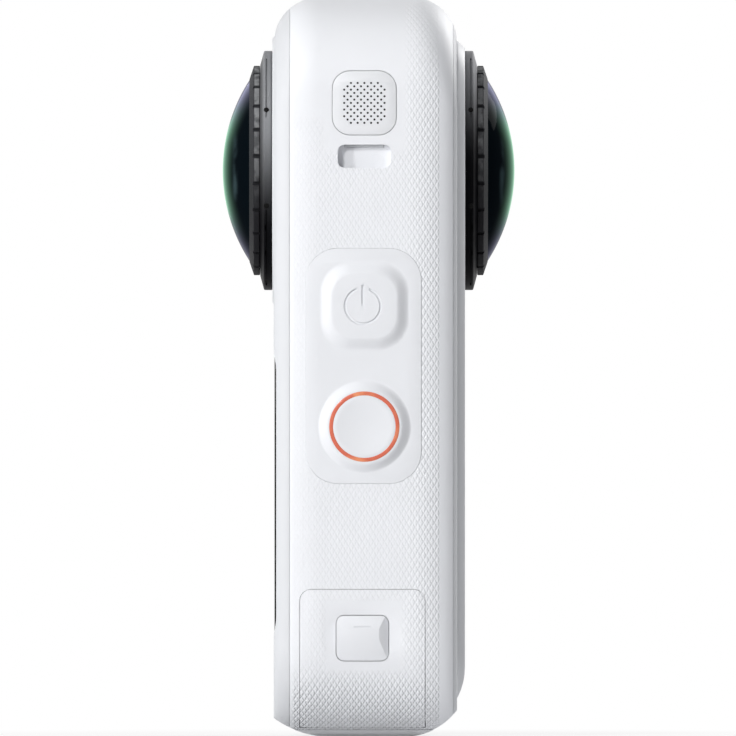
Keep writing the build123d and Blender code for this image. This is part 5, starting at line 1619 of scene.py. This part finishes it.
@dataclass
class Foot:
    """The tripod bush, with its thread as plain rings. The four base screws keep their CAD meshes.

    Attributes:
        bore: major radius of the thread.
        pitch: distance between its turns.
        turns: how many turns it has.
    """

    bore: float = 3.175
    pitch: float = 1.27
    turns: int = 4

    def build(self) -> None:
        """Makes the bush and its thread."""
        rings = [(4.6, 0.0), (4.6, 4.4), (6.0, 4.4), (6.0, 5.3), (4.6, 5.3), (4.6, 7.2), (0.0, 7.2)]
        inner = [(0.0, 6.2), (self.bore - 0.35, 6.2)]
        for turn in range(self.turns):
            height = 6.0 - turn * self.pitch
            inner += [(self.bore - 0.55, height), (self.bore, height - self.pitch / 2)]
        inner += [(self.bore, 0.35), (self.bore + 0.35, 0.0)]
        bush = self.spun("threaded_bush", rings + inner)
        finish(bush, BRASS, Body.HOUSING, ["tripod_bush"], "insert_brass", 20)

    def spun(self, name: str, profile: Sequence[Point]) -> bpy.types.Object:
        """A piece spun about Z from (radius, height) points."""
        obj = Bench.drawn(name, [(r, 0, z) for r, z in list(profile) + [profile[0]]], False)
        bpy.ops.mesh.spin(steps=72, angle=2 * math.pi, center=(0, 0, 0), axis=(0, 0, 1))
        bpy.ops.mesh.select_all(action="SELECT")
        bpy.ops.mesh.remove_doubles(threshold=1e-4)
        bpy.ops.mesh.normals_make_consistent(inside=False)
        Bench.free()
        return obj


@dataclass
class Insides:
    """The CAD pieces that stay as they are and only get their finish.

    Attributes:
        looks: the finish of each node.
    """

    looks: dict[str, object] = field(
        default_factory=lambda: {
            "display_module": INNER_GREY, "lens_chassis": ALLOY, "chassis_screws": STEEL,
            "board_chassis": ALLOY, "main_board": BOARD_GREEN, "heat_spreader": COPPER,
            "button_board": BOARD_GREEN, "button_bracket": STEEL, "tact_switches": STEEL,
            "mic_capsule": STEEL, "speaker_baffle": PAD_WHITE, "speaker": BARREL_BLACK,
            "door_seal": SEAL_BLACK, "door_hinge_pin": STEEL, "latch_spring": STEEL,
            "port_tub": INNER_GREY, "usb_receptacle": STEEL, "card_reader": STEEL,
            "battery_cell": CELL_BLACK, "battery_seal": SEAL_BLACK, "battery_tray": INNER_GREY,
            "battery_contacts": BRASS, "base_screws": STEEL, "front_lens_seal": SEAL_BLACK,
            "rear_lens_seal": SEAL_BLACK, "front_sensor_board": BOARD_GREEN,
            "rear_sensor_board": BOARD_GREEN,
        }
    )

    def build(self) -> None:
        """Dresses each node."""
        for node, look in self.looks.items():
            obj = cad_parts[node]
            obj.data.materials.clear()
            obj.data.materials.append(FINISHES.take(look))
            LOG.info("%s keeps its CAD mesh", node)


@dataclass
class Studio:
    """The camera, the lamps, the floor and the white background, in metres.

    Attributes:
        distance: distance of the camera from the body's middle.
        level_x: distance from the middle at which the picture has the photo's scale.
        lamps: name, place, size and power of each lamp.
        ambient: strength of the light all round.
    """

    distance: float = 4.0
    level_x: float = 0.012
    lamps: tuple[tuple[str, Point3, float, float], ...] = (
        ("key", (1.216, -0.72, 0.752), 0.30, 12.4),
        ("side", (0.76, -1.22, 0.20), 0.20, 8.6),
        ("top", (0.30, -0.05, 1.60), 0.70, 2.8),
        ("back", (-1.12, 0.912, 0.688), 0.60, 15.0),
    )
    ambient: float = 0.19

    def build(self) -> None:
        """Sets up the picture."""
        scene = bpy.context.scene
        scene.view_settings.view_transform = "Standard"
        self.build_camera(scene)
        for name, place, size, power in self.lamps:
            self.lamp(name, place, size, power)
        self.build_world(scene)
        self.build_floor()

    def build_camera(self, scene: bpy.types.Scene) -> None:
        """The camera, square to the +X side, framed as the photo is."""
        data = bpy.data.cameras.new("camera")
        camera = bpy.data.objects.new("camera", data)
        scene.collection.objects.link(camera)
        middle = PHOTO_PIXELS / 2
        y = (middle - PHOTO_MIDDLE_Y) * MM_PER_PIXEL * MM
        z = (PHOTO_BASE_Z - middle) * MM_PER_PIXEL * MM
        camera.location = (self.distance, y, z)
        camera.rotation_euler = (math.pi / 2, 0, math.pi / 2)
        width = PHOTO_PIXELS * MM_PER_PIXEL * MM
        data.sensor_width = 36.0
        data.lens = data.sensor_width * (self.distance - self.level_x) / width
        data.clip_end = 50
        scene.camera = camera

    def lamp(self, name: str, place: Point3, size: float, power: float) -> None:
        """A square area lamp that faces the camera's middle."""
        data = bpy.data.lights.new(name, "AREA")
        data.size = size
        data.energy = power
        lamp = bpy.data.objects.new(name, data)
        bpy.context.scene.collection.objects.link(lamp)
        lamp.location = place
        direction = Vector((0, 0, 0.05)) - lamp.location
        lamp.rotation_euler = direction.to_track_quat("-Z", "Y").to_euler()

    def build_world(self, scene: bpy.types.Scene) -> None:
        """Plain light all round, and white behind for the camera, glass and gloss."""
        world = bpy.data.worlds.new("studio")
        world.use_nodes = True
        nodes, links = world.node_tree.nodes, world.node_tree.links
        nodes.clear()
        plain = nodes.new("ShaderNodeBackground")
        plain.inputs["Color"].default_value = (0.96, 0.975, 1.0, 1)
        plain.inputs["Strength"].default_value = self.ambient
        white = nodes.new("ShaderNodeBackground")
        white.inputs["Color"].default_value = (1, 1, 1, 1)
        white.inputs["Strength"].default_value = 1.0
        mix = nodes.new("ShaderNodeMixShader")
        output = nodes.new("ShaderNodeOutputWorld")
        links.new(self.seen(nodes, links), mix.inputs[0])
        links.new(plain.outputs[0], mix.inputs[1])
        links.new(white.outputs[0], mix.inputs[2])
        links.new(mix.outputs[0], output.inputs["Surface"])
        scene.world = world

    def seen(self, nodes: bpy.types.Nodes, links: bpy.types.NodeLinks) -> bpy.types.NodeSocket:
        """1 for a ray from the camera, a reflection or glass, and 0 for one that only lights."""
        path = nodes.new("ShaderNodeLightPath")
        value = path.outputs["Is Camera Ray"]
        for name in ("Is Glossy Ray", "Is Transmission Ray"):
            most = nodes.new("ShaderNodeMath")
            most.operation = "MAXIMUM"
            links.new(value, most.inputs[0])
            links.new(path.outputs[name], most.inputs[1])
            value = most.outputs[0]
        return value

    def build_floor(self) -> None:
        """A wide pale floor: white where it is seen, except near the camera's foot, where it is shaded."""
        Bench.free()
        bpy.ops.mesh.primitive_plane_add(size=4.0, location=(0, 0, 0))
        floor = bpy.context.object
        floor.name = "floor"
        tree = Tree("floor")
        speck = tree.noise(60.0, 2.0)
        colour = tree.blend(speck, (0.70, 0.70, 0.71), (0.74, 0.74, 0.75))
        matt = tree.surface(Base_Color=colour, Roughness=0.8)
        bright = tree.add("ShaderNodeEmission", None, (1.0, 1.0, 1.0), 1.0)
        x, y, _ = tree.place()
        far = (x * x + y * y).power(0.5).step(30.0, 90.0)
        seen = Wire(tree, self.seen(tree.nodes, tree.links))
        node = tree.raw("ShaderNodeMixShader", None, seen * (0.82 + far * 0.18), matt, bright)
        floor.data.materials.append(tree.done(Wire(tree, node.outputs[0])))
        floor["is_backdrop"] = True


def save_sizes(after: object) -> None:
    """Only defines a helper that turns boxes into plain lists."""
    def plain(bounds: object) -> list[list[float]]:
        """Nested lists of numbers."""
        return [[float(v) for v in corner] for corner in bounds]


def main() -> None:
    """Builds every sub-assembly in turn."""
    logging.basicConfig(level=logging.INFO, format="%(name)s: %(message)s")
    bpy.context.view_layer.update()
    housing = Housing()
    blank = housing.blank()
    housing.build(blank)
    Lens("front", Body.FRONT_GUARD, 12.5).build()
    Lens("rear", Body.REAR_GUARD, 12.5).build()
    Display().build()
    Keys().build()
    Sound().build(blank)
    Door().build(blank, housing)
    Battery().build(blank, housing)
    Foot().build()
    bpy.data.objects.remove(blank, do_unlink=True)
    Insides().build()
    Studio().build()
    save_sizes(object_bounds())


if __name__ == "__main__":
    main()
